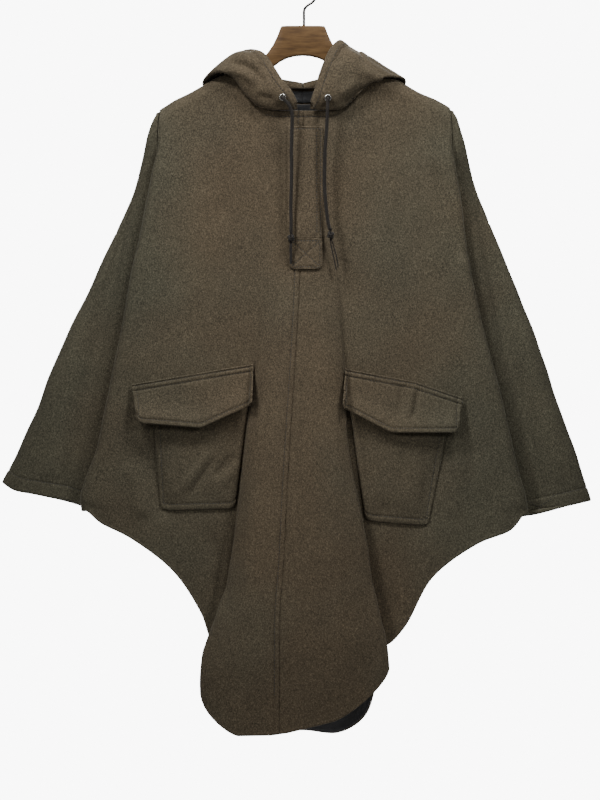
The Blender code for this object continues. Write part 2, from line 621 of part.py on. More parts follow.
def build_garment(finishes):
    """Fronts, sleeves, back and hood, and the black lining where it shows. Returns their skins."""
    skins = {"back": back_skin()}
    for name, side in SIDES:
        skins[f"front_{name}"] = front_skin(side)
        skins[f"sleeve_{name}"] = sleeve_skin(side)
    sheets = dict(skins)
    whole = sheets.pop("back")
    middle = len(whole.grid) // 2
    sheets["back_left"] = whole.part(slice(0, middle + 1), slice(None))
    sheets["back_right"] = whole.part(slice(middle, None), slice(None))
    for name, skin in sheets.items():
        gap = SLEEVE_GAP if name.startswith("sleeve") else GAP
        cloth(name, skin.parted(gap, gap), WOOL, finishes["wool"])
    surface = Surface([skins[name] for name in ("front_left", "front_right", "back")])
    for name, side in SIDES:
        hood = hood_skin(LEFT_HOOD if side < 0 else RIGHT_HOOD, side, surface).parted(0, 0, GAP)
        cloth(f"hood_{name}", hood, WOOL, finishes["wool"])
        skins[f"hood_{name}"] = hood
    under = -(WOOL + LINING) / 2 - LINING_LIFT
    for name, source, columns, rows in LININGS:
        cloth(name, skins[source].part(slice(*columns), slice(*rows), under), LINING, finishes["lining"])
    return skins


def build_pockets(surface, finishes):
    for name, bag, top, bottom in (
        ("left", LEFT_BAG, LEFT_FLAP_TOP, LEFT_FLAP_BOTTOM),
        ("right", RIGHT_BAG, RIGHT_FLAP_TOP, RIGHT_FLAP_BOTTOM),
    ):
        bag_skin = patch_skin(surface, *bag_edges(bag), 12, 10, PATCH_LIFT + PATCH / 2)
        cloth(f"pocket_{name}", bag_skin, PATCH, finishes["wool"])
        flap_skin = patch_skin(surface, top, bottom, 14, 5, FLAP_LIFT + PATCH / 2)
        cloth(f"flap_{name}", flap_skin, PATCH, finishes["wool"])


def build_placket(surface, finishes):
    for name, table, rows in (("placket", PLACKET, 9), ("placket_box", PLACKET_BOX, 6)):
        skin = patch_skin(surface, *strip_edges(table), rows, 6, PATCH_LIFT + PATCH / 2)
        cloth(name, skin, PATCH, finishes["wool"])


def smooth_path(path, spacing, ease=1.0):
    """Points along a smooth curve through a table of places, closer at its start where ease is over 1."""
    fine = loft(np.array(path, float)[:, None, :], (12,) * (len(path) - 1))[:, 0]
    along = np.concatenate([[0], np.cumsum(np.linalg.norm(np.diff(fine, axis=0), axis=1))])
    at = along[-1] * np.linspace(0, 1, max(2, round(along[-1] / spacing) + 1)) ** ease
    return np.stack([np.interp(at, along, fine[:, axis]) for axis in range(3)], axis=-1)


def tube(name, path, width, finish, closed=False):
    """A round tube along a path in millimetres."""
    curve = bpy.data.curves.new(name, "CURVE")
    curve.dimensions = "3D"
    curve.bevel_depth = width / 2 * MM
    curve.bevel_resolution = 2
    curve.use_fill_caps = not closed
    spline = curve.splines.new("POLY")
    spline.points.add(len(path) - 1)
    spline.use_cyclic_u = closed
    for point, place in zip(spline.points, path):
        point.co = (*(place * MM), 1.0)
    curve.materials.append(finish)
    made = bpy.data.objects.new(name, curve)
    bpy.context.scene.collection.objects.link(made)
    return made


def ball(name, centre, radius, half_height, finish):
    """A knot as an egg standing on end."""
    shaped = bmesh.new()
    bmesh.ops.create_uvsphere(shaped, u_segments=12, v_segments=8, radius=1.0)
    mesh = bpy.data.meshes.new(name)
    shaped.to_mesh(mesh)
    shaped.free()
    vertices = [centre + np.array(v.co) * (radius, radius, half_height) for v in mesh.vertices]
    faces = [tuple(polygon.vertices) for polygon in mesh.polygons]
    bpy.data.meshes.remove(mesh)
    return new_object(name, vertices, faces, finish)


def build_cords(hoods, finishes):
    """Eyelets on the hood, the drawcord that comes out of them, its knots and its tails."""
    surface = Surface(hoods)
    for (name, _), route in zip(SIDES, (LEFT_CORD, RIGHT_CORD)):
        hit, normal = surface.at(*EYELETS[name])
        along = unit(np.cross(normal, (1.0, 0.0, 0.0)))
        side = np.cross(along, normal)
        middle = hit + normal * (EYELET_LIFT + EYELET_WIRE)
        turn = np.linspace(0, 2 * math.pi, 18, endpoint=False)[:, None]
        ring = middle + EYELET_RING * (np.cos(turn) * side + np.sin(turn) * along)
        tube(f"eyelet_{name}", ring, 2 * EYELET_WIRE, finishes["metal"], closed=True)
        route = points(*np.array(route, float).T)
        out = unit(route[0] - middle - normal * ((route[0] - middle) @ normal))
        start = [middle + normal * 2.3, middle + normal * 4.6 + out * 2.0, middle + normal * 5.4 + out * 6.0]
        path = smooth_path(np.concatenate([start, route]), CORD_SPACING * CORD, CORD_EASE)
        tube(f"drawcord_{name}", path, CORD, finishes["cord"])
        ball(f"knot_{name}", points(*KNOTS[name]), KNOT_RADIUS, KNOT_HALF_LENGTH, finishes["cord"])
    for name, (width, route) in TAILS.items():
        path = smooth_path(points(*np.array(route, float).T), CORD_SPACING * width)
        tube(name, path, width, finishes["cord"])


def build_hook(finishes):
    """A wire hook whose inside top is the origin."""
    turn = np.radians(np.linspace(*HOOK_ARC, 22))
    radius = HOOK_RADIUS + HOOK_WIRE / 2
    arc = np.stack([radius * np.cos(turn), 0 * turn, radius * np.sin(turn) - HOOK_RADIUS], axis=-1)
    tube("hanger_hook", np.concatenate([smooth_path(HOOK_STEM, 5.0), arc]), HOOK_WIRE, finishes["metal"])


def build_hanger(finishes):
    """The wooden hanger: a rounded board that follows the shoulders."""
    half = np.array(HANGER, float)
    rows = np.concatenate([half[:0:-1] * (-1, 1, 1, 1), half])
    corner = np.array((0.35, 1, 1, 0.35, -0.35, -1, -1, -0.35))
    level = np.array((1, 0.78, -0.78, -1, -1, -0.78, 0.78, 1))
    vertices, faces = [], []
    for across, top, under, thick in rows:
        middle, reach = (top + under) / 2, (under - top) / 2
        for out, up in zip(corner, level):
            vertices.append((across, -out * thick, -middle + up * reach))
    sides = len(corner)
    for k in range(len(rows) - 1):
        for s in range(sides):
            here, there = k * sides + s, k * sides + (s + 1) % sides
            faces.append((here, there, there + sides, here + sides))
    faces.append(tuple(range(sides))[::-1])
    faces.append(tuple(range(len(vertices) - sides, len(vertices))))
    new_object("hanger", vertices, faces, finishes["wood"])


def main():
    clear_scene()
    finishes = make_finishes()
    skins = build_garment(finishes)
    fronts = Surface([skins["front_left"], skins["front_right"]])
    build_pockets(fronts, finishes)
    build_placket(fronts, finishes)
    build_cords([skins["hood_left"], skins["hood_right"]], finishes)
    build_hanger(finishes)
    build_hook(finishes)


main()
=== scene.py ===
"""The looks of a hooded pullover poncho coat, hanging on a wooden hanger.

Sizes are in millimetres unless a name says otherwise. 'down' is measured below the inside top of the
hook, 'across' to the right of it, and 'forward' towards the front (-Y). Each sheet of cloth is lofted
through the same feature lines as its solid, creased, and given its thickness.
"""

import logging
import math
from dataclasses import dataclass, field
from enum import Enum

import bpy
import numpy as np
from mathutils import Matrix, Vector
from mathutils.bvhtree import BVHTree


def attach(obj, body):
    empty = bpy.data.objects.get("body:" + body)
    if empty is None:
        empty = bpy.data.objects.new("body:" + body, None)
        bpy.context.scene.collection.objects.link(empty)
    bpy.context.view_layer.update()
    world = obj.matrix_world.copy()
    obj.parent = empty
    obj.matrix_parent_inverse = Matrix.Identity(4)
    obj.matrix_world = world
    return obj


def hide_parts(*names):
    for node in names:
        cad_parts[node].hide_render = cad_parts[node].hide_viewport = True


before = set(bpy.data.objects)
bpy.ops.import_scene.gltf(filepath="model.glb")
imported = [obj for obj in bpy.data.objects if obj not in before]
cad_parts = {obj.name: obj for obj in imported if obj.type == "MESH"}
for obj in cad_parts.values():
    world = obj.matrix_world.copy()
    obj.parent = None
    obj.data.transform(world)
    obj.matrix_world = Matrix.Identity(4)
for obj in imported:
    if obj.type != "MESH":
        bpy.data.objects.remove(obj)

Array = np.ndarray
Table = tuple[tuple[float, ...], ...]

LOG = logging.getLogger("poncho_coat")
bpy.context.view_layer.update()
MM = 0.001
BODY = "root"


class Side(Enum):
    """A half of the garment, as the camera sees it, with the sign of its 'across'."""

    LEFT = -1
    RIGHT = 1


class Face(Enum):
    """The front or the back of the garment, with the sign of its 'forward'."""

    FRONT = 1
    BACK = -1


# ---------------------------------------------------------------- curves and lofts

def slopes_of(x: Array, y: Array) -> Array:
    """Slopes of a cubic through the points that never overshoots them."""
    rise = np.diff(y) / np.diff(x)
    slope = np.empty_like(y)
    slope[0], slope[-1] = rise[0], rise[-1]
    before, after = rise[:-1], rise[1:]
    same = before * after > 0
    both = np.where(same, before + after, 1.0)
    slope[1:-1] = np.where(same, 2 * before * after / both, 0.0)
    return slope


def cubic(t: Array, first: Array, last: Array, leaving: Array, arriving: Array) -> Array:
    """A curve from the first value to the last, with these slopes where it leaves and arrives."""
    start = (2 * t**3 - 3 * t**2 + 1) * first + (t**3 - 2 * t**2 + t) * leaving
    return start + ((3 * t**2 - 2 * t**3) * last + (t**3 - t**2) * arriving)


def read(table: Table, at: Array | float, column: int = 1) -> Array:
    """Read a column of a table at given heights, on a smooth curve through its rows.

    Args:
        table: rows whose first column is the height, in rising order.
        at: the heights to read at.
        column: which column to read.

    Returns:
        The column's value at each height.
    """
    rows = np.array(table, float)
    x, y = rows[:, 0], rows[:, column]
    slope = slopes_of(x, y)
    at = np.clip(at, x[0], x[-1])
    k = np.clip(np.searchsorted(x, at) - 1, 0, len(x) - 2)
    width = x[k + 1] - x[k]
    return cubic((at - x[k]) / width, y[k], y[k + 1], width * slope[k], width * slope[k + 1])


def points(across: Array | float, down: Array | float, forward: Array | float) -> Array:
    """Places in the frame, in millimetres, from the tables' three measures."""
    places = np.broadcast_arrays(across, -np.asarray(forward, float), -np.asarray(down, float))
    return np.stack(places, axis=-1)


def loft(rails: list[Array] | Array, counts: tuple[int, ...] | list[int]) -> Array:
    """Blend smoothly from each rail to the next.

    Args:
        rails: feature lines, each with the same number of points.
        counts: how many columns there are from each rail to the next.

    Returns:
        Points in columns and rows.
    """
    rails = np.array(rails, float)
    chord = np.sqrt(np.linalg.norm(np.diff(rails, axis=0), axis=2) + 1e-6)[..., None]
    rise = np.diff(rails, axis=0) / chord
    tangent = np.empty_like(rails)
    tangent[0], tangent[-1] = rise[0], rise[-1]
    weight = chord[1:] / (chord[:-1] + chord[1:])
    tangent[1:-1] = rise[:-1] * weight + rise[1:] * (1 - weight)
    columns = []
    for k, count in enumerate(counts):
        leaving, arriving = chord[k] * tangent[k], chord[k] * tangent[k + 1]
        for share in np.arange(count) / count:
            columns.append(cubic(share, rails[k], rails[k + 1], leaving, arriving))
    columns.append(rails[-1])
    return np.array(columns)


def counts_for(rails: list[Array], spacing: float) -> list[int]:
    """How many columns each stretch between rails needs, to be about this far apart."""
    widths = [np.linalg.norm(b - a, axis=1).mean() for a, b in zip(rails[:-1], rails[1:])]
    return [max(2, math.ceil(width / spacing)) for width in widths]


def length_along(path: Array) -> Array:
    """How far along a path each of its points is."""
    return np.concatenate([[0], np.cumsum(np.linalg.norm(np.diff(path, axis=0), axis=1))])


def taken_at(at: Array, along: Array, values: Array) -> Array:
    """Each column of the values, read at some lengths along their path."""
    return np.stack([np.interp(at, along, values[:, axis]) for axis in range(values.shape[1])], axis=-1)


def smooth_path(path: Table | Array, spacing: float, ease: float = 1.0) -> Array:
    """Points along a smooth curve through a few places, closer at its start where ease is over 1."""
    fine = loft(np.array(path, float)[:, None, :], (12,) * (len(path) - 1))[:, 0]
    along = length_along(fine)
    at = along[-1] * np.linspace(0, 1, max(2, round(along[-1] / spacing) + 1)) ** ease
    return taken_at(at, along, fine)


def unit(vectors: Array) -> Array:
    """The same directions with a length of one."""
    return vectors / np.maximum(np.linalg.norm(vectors, axis=-1, keepdims=True), 1e-9)


def smooth_step(value: Array | float) -> Array:
    """Rise softly from 0 to 1."""
    value = np.clip(value, 0, 1)
    return value * value * (3 - 2 * value)


def bell(apart: Array, reach: Array | float) -> Array:
    """Fall from 1 to 0 on both sides of a line."""
    return np.exp(-((apart / reach) ** 2))


def facings_of(grid: Array) -> Array:
    """The way that a sheet faces at each of its points."""
    return unit(np.cross(np.gradient(grid, axis=0), np.gradient(grid, axis=1)))


def band(here: Array, there: Array, axis: int = 1) -> Array:
    """Corners of the faces that join each closed ring to the next."""
    return np.stack([here, np.roll(here, -1, axis=axis), np.roll(there, -1, axis=axis), there], axis=-1)


# ---------------------------------------------------------------- creases

@dataclass(frozen=True)
class Crease:
    """One soft ridge, or a trough where its height is negative, along a line seen from the front."""

    path: Table
    height: float
    left: float
    right: float
    fade_in: float = 0.3
    fade_out: float = 0.3

    def rise(self, across: Array, down: Array) -> Array:
        """How far the crease lifts the cloth at each place.

        Args:
            across: places' measure to the right.
            down: places' measure below the origin.

        Returns:
            The lift at each place, along the way that the cloth faces.
        """
        line = smooth_path(self.path, 8.0)
        where = np.stack([across.ravel(), down.ravel()], axis=-1)
        reach = 3 * max(self.left, self.right)
        near = np.all((where > line.min(axis=0) - reach) & (where < line.max(axis=0) + reach), axis=1)
        lift = np.zeros(len(where))
        if not near.any():
            return lift.reshape(across.shape)
        start, step = line[:-1], np.diff(line, axis=0)
        length = np.linalg.norm(step, axis=1)
        offset = where[near][:, None] - start
        share = np.clip((offset * step).sum(axis=2) / length**2, 0, 1)
        apart = offset - share[..., None] * step
        distance = np.linalg.norm(apart, axis=2)
        best = distance.argmin(axis=1)
        rows = np.arange(len(best))
        turn = step[best, 0] * offset[rows, best, 1] - step[best, 1] * offset[rows, best, 0]
        spread = np.where(turn > 0, self.left, self.right)
        along = (best + share[rows, best]) / len(length)
        starting = smooth_step(along / max(self.fade_in, 1e-3))
        ending = smooth_step((1 - along) / max(self.fade_out, 1e-3))
        lift[near] = self.height * starting * ending * bell(distance[rows, best], spread)
        return lift.reshape(across.shape)


# turns across and down, and where each ripple starts
RIPPLES = ((0.021, 0.009, 0.4), (-0.013, 0.024, 1.9), (0.034, -0.011, 3.1), (0.008, 0.041, 5.0),
           (0.052, 0.03, 2.2))
RIPPLE_TURNS = 0.35


def unevenness(across: Array, down: Array, size: float) -> Array:
    """The slight waves of a hanging cloth, from a few crossing ripples."""
    turn = 2 * math.pi * RIPPLE_TURNS
    total = sum(np.sin(turn * (a * across + b * down) + shift) for a, b, shift in RIPPLES)
    return size * total / len(RIPPLES)


# ---------------------------------------------------------------- sheets of cloth

@dataclass
class Skin:
    """The middle of a sheet of cloth: its points, and the way that each of them faces."""

    grid: Array
    normal: Array

    @classmethod
    def through(cls, grid: Array, beyond: tuple[int, int] = (0, 0), rows_beyond: int = 0) -> "Skin":
        """Make a skin; the columns and rows beyond it belong to its neighbours and only turn its edges."""
        normal = facings_of(grid)
        across = slice(beyond[0], grid.shape[0] - beyond[1])
        down = slice(0, grid.shape[1] - rows_beyond)
        skin = cls(grid[across, down].copy(), normal[across, down].copy())
        ridge = np.abs(skin.grid[:, 0, 1]) < RIDGE_SLACK
        skin.grid[ridge, 0, 1] = 0
        skin.normal[ridge, 0, 1] = 0
        skin.normal[:, 0] = unit(skin.normal[:, 0])
        return skin

    def face(self, lift: float) -> Array:
        """Points this far out from the skin."""
        return self.grid + self.normal * lift

    def drawn_back(self, first: float, last: float) -> "Skin":
        """The same skin with its first and last columns moved in from their seams."""
        grid = self.grid.copy()
        grid[0] += unit(self.grid[1] - self.grid[0]) * first
        grid[-1] += unit(self.grid[-2] - self.grid[-1]) * last
        ridge = np.abs(grid[:, 0, 1]) < 1e-6
        grid[ridge, 0, 1] = np.sign(grid[ridge, 2, 1]) * RIDGE_GAP / 2
        return Skin(grid, self.normal)

    def part(self, columns: slice, rows: slice, lift: float = 0.0) -> "Skin":
        """A stretch of the skin, moved out by a lift."""
        return Skin(self.face(lift)[columns, rows].copy(), self.normal[columns, rows].copy())


class Surface:
    """What a ray from the front meets first, among some sheets' outer faces."""

    def __init__(self, skins: list[Skin], lift: float) -> None:
        """Gather the outer faces, each this far out from its skin."""
        vertices: list[Vector] = []
        faces: list[list[int]] = []
        for skin in skins:
            face = skin.face(lift) * MM
            columns, rows = face.shape[:2]
            at = len(vertices) + np.arange(columns * rows).reshape(columns, rows)
            vertices += [Vector(vertex) for vertex in face.reshape(-1, 3)]
            corners = np.stack([at[:-1, :-1], at[1:, :-1], at[1:, 1:], at[:-1, 1:]], axis=-1)
            faces += corners.reshape(-1, 4).tolist()
        self.tree = BVHTree.FromPolygons(vertices, faces)

    def at(self, across: float, down: float) -> tuple[Array, Array]:
        """The place and the facing of what shows there, from the front."""
        hit, normal, _, _ = self.tree.ray_cast(Vector((across * MM, -0.5, -down * MM)), Vector((0, 1, 0)))
        if hit is None:
            raise ValueError(f"nothing shows at across {across:.1f}, down {down:.1f}")
        normal = -normal if normal.y > 0 else normal
        return np.array(hit) / MM, np.array(normal)

    def lifted(self, across: Array, down: Array, lift: Array, stand: Array) -> Array:
        """Points in front of the surface, lifted square to its slope and then standing straight off it."""
        found = np.empty(across.shape + (3,))
        for place in np.ndindex(across.shape):
            hit, normal = self.at(across[place], down[place])
            found[place] = hit - np.array((0, lift[place] / max(-normal[1], 0.5) + stand[place], 0))
        return found

    def cleared(self, grid: Array, clearance: float) -> Array:
        """The grid with every point that would lie in the surface moved out onto it."""
        grid = grid.copy()
        for place in np.ndindex(grid.shape[:2]):
            hit, normal, _, _ = self.tree.find_nearest(Vector(grid[place] * MM))
            hit, normal = np.array(hit) / MM, np.array(normal)
            offset = grid[place] - hit
            height = offset @ normal
            aside = np.linalg.norm(offset - height * normal)
            if aside < 1.0 and -30 < height < clearance:
                grid[place] = hit + normal * clearance
            elif aside >= 1.0 and np.linalg.norm(offset) < clearance:
                grid[place] = hit + offset * clearance / np.linalg.norm(offset)
        return grid


# ---------------------------------------------------------------- making objects

@dataclass(frozen=True)
class Finish:
    """A material and the record's slot that it fills."""

    material: bpy.types.Material
    slot: str


def new_object(name: str, data: bpy.types.ID) -> bpy.types.Object:
    """Add an object to the scene."""
    made = bpy.data.objects.new(name, data)
    bpy.context.scene.collection.objects.link(made)
    return made


def new_mesh(name: str, vertices: Array, faces: list, finish: Finish,
             uv: Array | None = None) -> bpy.types.Object:
    """Make a smooth-shaded object that rides on the garment's body.

    Args:
        name: the piece's name.
        vertices: places in millimetres.
        faces: corners of each face, facing out.
        finish: what it is made of.
        uv: optional place of each vertex on the cloth, in millimetres.

    Returns:
        The new object, in metres.
    """
    mesh = bpy.data.meshes.new(name)
    mesh.from_pydata((np.asarray(vertices) * MM).tolist(), [], [tuple(face) for face in faces])
    if uv is not None:
        layer = mesh.uv_layers.new(name="cloth")
        corners = np.empty(len(mesh.loops), int)
        mesh.loops.foreach_get("vertex_index", corners)
        layer.data.foreach_set("uv", (uv[corners] * MM).ravel())
    mesh.materials.append(finish.material)
    mesh.shade_smooth()
    made = new_object(name, mesh)
    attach(made, BODY)
    return made


def sheet_object(name: str, skin: Skin, thickness: float, finish: Finish) -> bpy.types.Object:
    """Make a sheet of cloth with rounded edges about its skin."""
    columns, rows = skin.grid.shape[:2]
    rim_out = skin.grid.copy()
    edges = ((np.s_[0], np.s_[1]), (np.s_[-1], np.s_[-2]),
             (np.s_[:, 0], np.s_[:, 1]), (np.s_[:, -1], np.s_[:, -2]))
    for edge, inside in edges:
        rim_out[edge] += unit(skin.grid[edge] - skin.grid[inside]) * thickness * EDGE_ROUND
    at = np.arange(columns * rows).reshape(columns, rows)
    ring = np.concatenate([at[:, 0], at[-1, 1:], at[-2::-1, -1], at[0, -2:0:-1]])
    middle = 2 * columns * rows + np.arange(len(ring))
    outer = skin.face(thickness / 2).reshape(-1, 3)
    inner = skin.face(-thickness / 2).reshape(-1, 3)
    vertices = np.concatenate([outer, inner, rim_out.reshape(-1, 3)[ring]])
    front = np.stack([at[:-1, :-1], at[1:, :-1], at[1:, 1:], at[:-1, 1:]], axis=-1).reshape(-1, 4)
    back = front[:, ::-1] + columns * rows
    after = np.roll(np.arange(len(ring)), -1)
    upper = np.stack([ring[after], ring, middle, middle[after]], axis=-1)
    lower = np.stack([middle[after], middle, ring + columns * rows, ring[after] + columns * rows], axis=-1)
    faces = np.concatenate([front, back, upper, lower]).tolist()
    return new_mesh(name, vertices, faces, finish)


def frames_along(path: Array) -> tuple[Array, Array]:
    """Two directions square to a path at each of its points, turning as little as they can."""
    ahead = unit(np.gradient(path, axis=0))
    side = np.empty_like(path)
    start = np.cross(ahead[0], (0.0, 0.0, 1.0))
    side[0] = unit(start if np.linalg.norm(start) > 0.1 else np.cross(ahead[0], (0.0, 1.0, 0.0)))
    for k in range(1, len(path)):
        side[k] = unit(side[k - 1] - ahead[k] * (side[k - 1] @ ahead[k]))
    return side, np.cross(ahead, side)


def tube_object(name: str, path: Array, radius: float, finish: Finish, sides: int) -> bpy.types.Object:
    """Make a round tube along a path, with domed ends.

    Args:
        name: the piece's name.
        path: places in millimetres.
        radius: its radius.
        finish: what it is made of.
        sides: how many sides it has.

    Returns:
        The tube, with a length and a way round for its pattern.
    """
    side, up = (spoke[:, None] for spoke in frames_along(path))
    turn = np.linspace(0, 2 * math.pi, sides, endpoint=False)
    rings = path[:, None] + (np.cos(turn)[:, None] * side + np.sin(turn)[:, None] * up) * radius
    tips = [path[0] - unit(path[1] - path[0]) * radius * TIP_DOME,
            path[-1] + unit(path[-1] - path[-2]) * radius * TIP_DOME]
    vertices = np.concatenate([rings.reshape(-1, 3), tips])
    along = length_along(path)[:, None]
    uv = np.stack(np.broadcast_arrays(turn[None] * radius, along), axis=-1).reshape(-1, 2)
    uv = np.concatenate([uv, uv[[0, -1]]])
    count = len(path) * sides
    at = np.arange(count).reshape(-1, sides)
    faces = band(at[:-1], at[1:]).reshape(-1, 4).tolist()
    faces += [(at[0, (s + 1) % sides], at[0, s], count) for s in range(sides)]
    faces += [(at[-1, s], at[-1, (s + 1) % sides], count + 1) for s in range(sides)]
    return new_mesh(name, vertices, faces, finish, uv)


# ---------------------------------------------------------------- finishes

Socket = bpy.types.NodeSocket
Colour = tuple[float, float, float]


class Shader:
    """A material's nodes, with short ways to add and join them."""

    def __init__(self, name: str, slot: str = "") -> None:
        """Start a material with its Principled BSDF."""
        self.slot = slot or name
        self.material = bpy.data.materials.new(name)
        self.material.use_nodes = True
        self.tree = self.material.node_tree
        self.surface = self.tree.nodes["Principled BSDF"]

    def add(self, kind: str, inputs: dict | None = None, **settings: object) -> bpy.types.Node:
        """Add a node, set its own properties, and set or join its inputs."""
        node = self.tree.nodes.new(kind)
        for key, value in settings.items():
            setattr(node, key, value)
        for key, value in (inputs or {}).items():
            self.join(value, node.inputs[key])
        return node

    def join(self, value: object, socket: Socket) -> None:
        """Link an output to a socket, or set the socket's own value."""
        if isinstance(value, Socket):
            self.tree.links.new(value, socket)
        else:
            socket.default_value = value

    def place(self, stretch: tuple[float, float, float] = (1.0, 1.0, 1.0), source: str = "Object",
              turn: tuple[float, float, float] = (0.0, 0.0, 0.0)) -> Socket:
        """Coordinates on the object or the cloth, stretched."""
        coordinates = self.add("ShaderNodeTexCoord").outputs[source]
        inputs = {"Vector": coordinates, "Scale": stretch, "Rotation": turn}
        return self.add("ShaderNodeMapping", inputs).outputs[0]

    def noise(self, where: Socket, scale: float, detail: float = 2.0, rough: float = 0.5) -> Socket:
        """A cloudy pattern from 0 to 1."""
        inputs = {"Vector": where, "Scale": scale, "Detail": detail, "Roughness": rough}
        return self.add("ShaderNodeTexNoise", inputs).outputs["Fac"]

    def ramp(self, factor: Socket, stops: tuple[tuple[float, Colour], ...]) -> Socket:
        """Colours along a factor."""
        node = self.add("ShaderNodeValToRGB", {"Fac": factor})
        while len(node.color_ramp.elements) < len(stops):
            node.color_ramp.elements.new(0.5)
        for element, (position, colour) in zip(node.color_ramp.elements, stops):
            element.position = position
            element.color = (*colour, 1.0)
        return node.outputs["Color"]

    def math(self, operation: str, first: object, second: object = 0.0) -> Socket:
        """Arithmetic on two factors."""
        return self.add("ShaderNodeMath", {0: first, 1: second}, operation=operation).outputs[0]

    def mix(self, factor: object, first: object, second: object, blend: str = "MIX") -> Socket:
        """Blend two colours."""
        node = self.add("ShaderNodeMix", data_type="RGBA", blend_type=blend)
        self.join(factor, node.inputs[0])
        self.join(first, node.inputs[6])
        self.join(second, node.inputs[7])
        return node.outputs[2]

    def bump(self, height: Socket, distance: float, strength: float = 1.0,
             under: Socket | None = None) -> Socket:
        """Raise the surface by a height, over an earlier bump."""
        inputs = {"Height": height, "Distance": distance, "Strength": strength}
        if under is not None:
            inputs["Normal"] = under
        return self.add("ShaderNodeBump", inputs).outputs["Normal"]

    def finish(self, **sockets: object) -> Finish:
        """Join or set the surface's sockets, named in words with underscores."""
        for key, value in sockets.items():
            self.join(value, self.surface.inputs[key.replace("_", " ")])
        return Finish(self.material, self.slot)


@dataclass(frozen=True)
class MeltonWool:
    """Felted wool of dark and light fibres mixed before spinning, with a soft nap."""

    name: str = "wool_look"
    slot: str = "wool"
    dark: Colour = (0.024, 0.021, 0.0155)
    middle: Colour = (0.052, 0.045, 0.032)
    light: Colour = (0.100, 0.086, 0.062)
    fleck: Colour = (0.16, 0.13, 0.09)
    greener: Colour = (0.94, 1.01, 0.97)
    browner: Colour = (1.07, 0.965, 0.87)
    turn_outward: float = 1.9

    def made(self) -> Finish:
        """Build the shader."""
        shader = Shader(self.name, self.slot)
        where = shader.place()
        twill = shader.place((1.0, 1.0, 0.55), turn=(0.0, 0.6, 0.0))
        fibre = shader.noise(twill, 900.0, 3.0, 0.7)
        cloud = shader.noise(where, 430.0, 2.0, 0.6)
        mixed = shader.math("ADD", shader.math("MULTIPLY", fibre, 0.62), shader.math("MULTIPLY", cloud, 0.38))
        heather = shader.ramp(mixed, ((0.36, self.dark), (0.50, self.middle), (0.64, self.light)))
        flecks = shader.ramp(shader.noise(twill, 620.0, 1.0), ((0.66, (0, 0, 0)), (0.74, (1, 1, 1))))
        flecked = shader.mix(shader.math("MULTIPLY", flecks, 0.35), heather, (*self.fleck, 1.0))
        wide = shader.noise(where, 9.0, 3.0, 0.6)
        broad = shader.ramp(wide, ((0.3, (0.90, 0.90, 0.90)), (0.7, (1.08, 1.07, 1.05))))
        # hue by place: greener and less saturated towards the sides, browner in the middle, over a slow
        # random drift
        aside = shader.math("ABSOLUTE", shader.add("ShaderNodeSeparateXYZ", {"Vector": where}).outputs["X"])
        outward = shader.math("MULTIPLY", aside, self.turn_outward)
        drift = shader.math("SUBTRACT", shader.noise(where, 5.0, 2.0, 0.5), outward)
        turned = shader.ramp(shader.math("ADD", drift, 0.35), ((0.25, self.greener), (0.75, self.browner)))
        colour = shader.mix(1.0, shader.mix(1.0, flecked, broad, "MULTIPLY"), turned, "MULTIPLY")
        nap = shader.bump(shader.noise(where, 420.0, 2.0, 0.6), 0.0006, 0.22)
        fuzz = shader.bump(shader.noise(twill, 1100.0, 2.0, 0.7), 0.0004, 0.4, nap)
        return shader.finish(Base_Color=colour, Roughness=0.95, Specular_IOR_Level=0.12, Normal=fuzz,
                             Sheen_Weight=0.13, Sheen_Roughness=0.35, Sheen_Tint=(0.80, 0.76, 0.66, 1.0))


@dataclass(frozen=True)
class SmoothLining:
    """Black twill lining with a slight shine."""

    name: str = "lining_look"
    slot: str = "lining"
    colour: Colour = (0.016, 0.016, 0.0165)

    def made(self) -> Finish:
        """Build the shader."""
        shader = Shader(self.name, self.slot)
        where = shader.place(turn=(0.0, 0.8, 0.0))
        inputs = {"Vector": where, "Scale": 620.0, "Distortion": 0.4}
        weave = shader.add("ShaderNodeTexWave", inputs).outputs["Fac"]
        light = tuple(2.6 * part for part in self.colour)
        colour = shader.ramp(weave, ((0.2, self.colour), (0.9, light)))
        normal = shader.bump(weave, 0.0002, 0.4, shader.bump(shader.noise(where, 60.0), 0.0012, 0.25))
        return shader.finish(Base_Color=colour, Roughness=0.55, Specular_IOR_Level=0.25, Normal=normal)


@dataclass(frozen=True)
class BraidedCord:
    """Round cord plaited from matt yarns, patterned by its length and its way round."""

    name: str = "cord_look"
    slot: str = "cord"
    colour: Colour = (0.0075, 0.006, 0.0048)
    yarn: float = 1.1
    strands: float = 3.0
    wave_turn: float = 6.28

    def made(self) -> Finish:
        """Build the shader."""
        shader = Shader(self.name, self.slot)
        bands = []
        for lean in (0.72, -0.72):
            where = shader.place(source="UV", turn=(0.0, 0.0, lean))
            inputs = {"Vector": where, "Scale": self.strands / (self.yarn * MM * self.wave_turn)}
            bands.append(shader.add("ShaderNodeTexWave", inputs).outputs["Fac"])
        plait = shader.math("MAXIMUM", *bands)
        fibre = shader.noise(shader.place(), 1500.0, 2.0, 0.7)
        light = tuple(3.2 * part for part in self.colour)
        colour = shader.ramp(shader.math("MULTIPLY", plait, fibre), ((0.15, self.colour), (0.8, light)))
        normal = shader.bump(fibre, 0.0002, 0.5, shader.bump(plait, 0.0005, 0.9))
        return shader.finish(Base_Color=colour, Roughness=0.85, Specular_IOR_Level=0.2, Normal=normal,
                             Sheen_Weight=0.04, Sheen_Roughness=0.5)


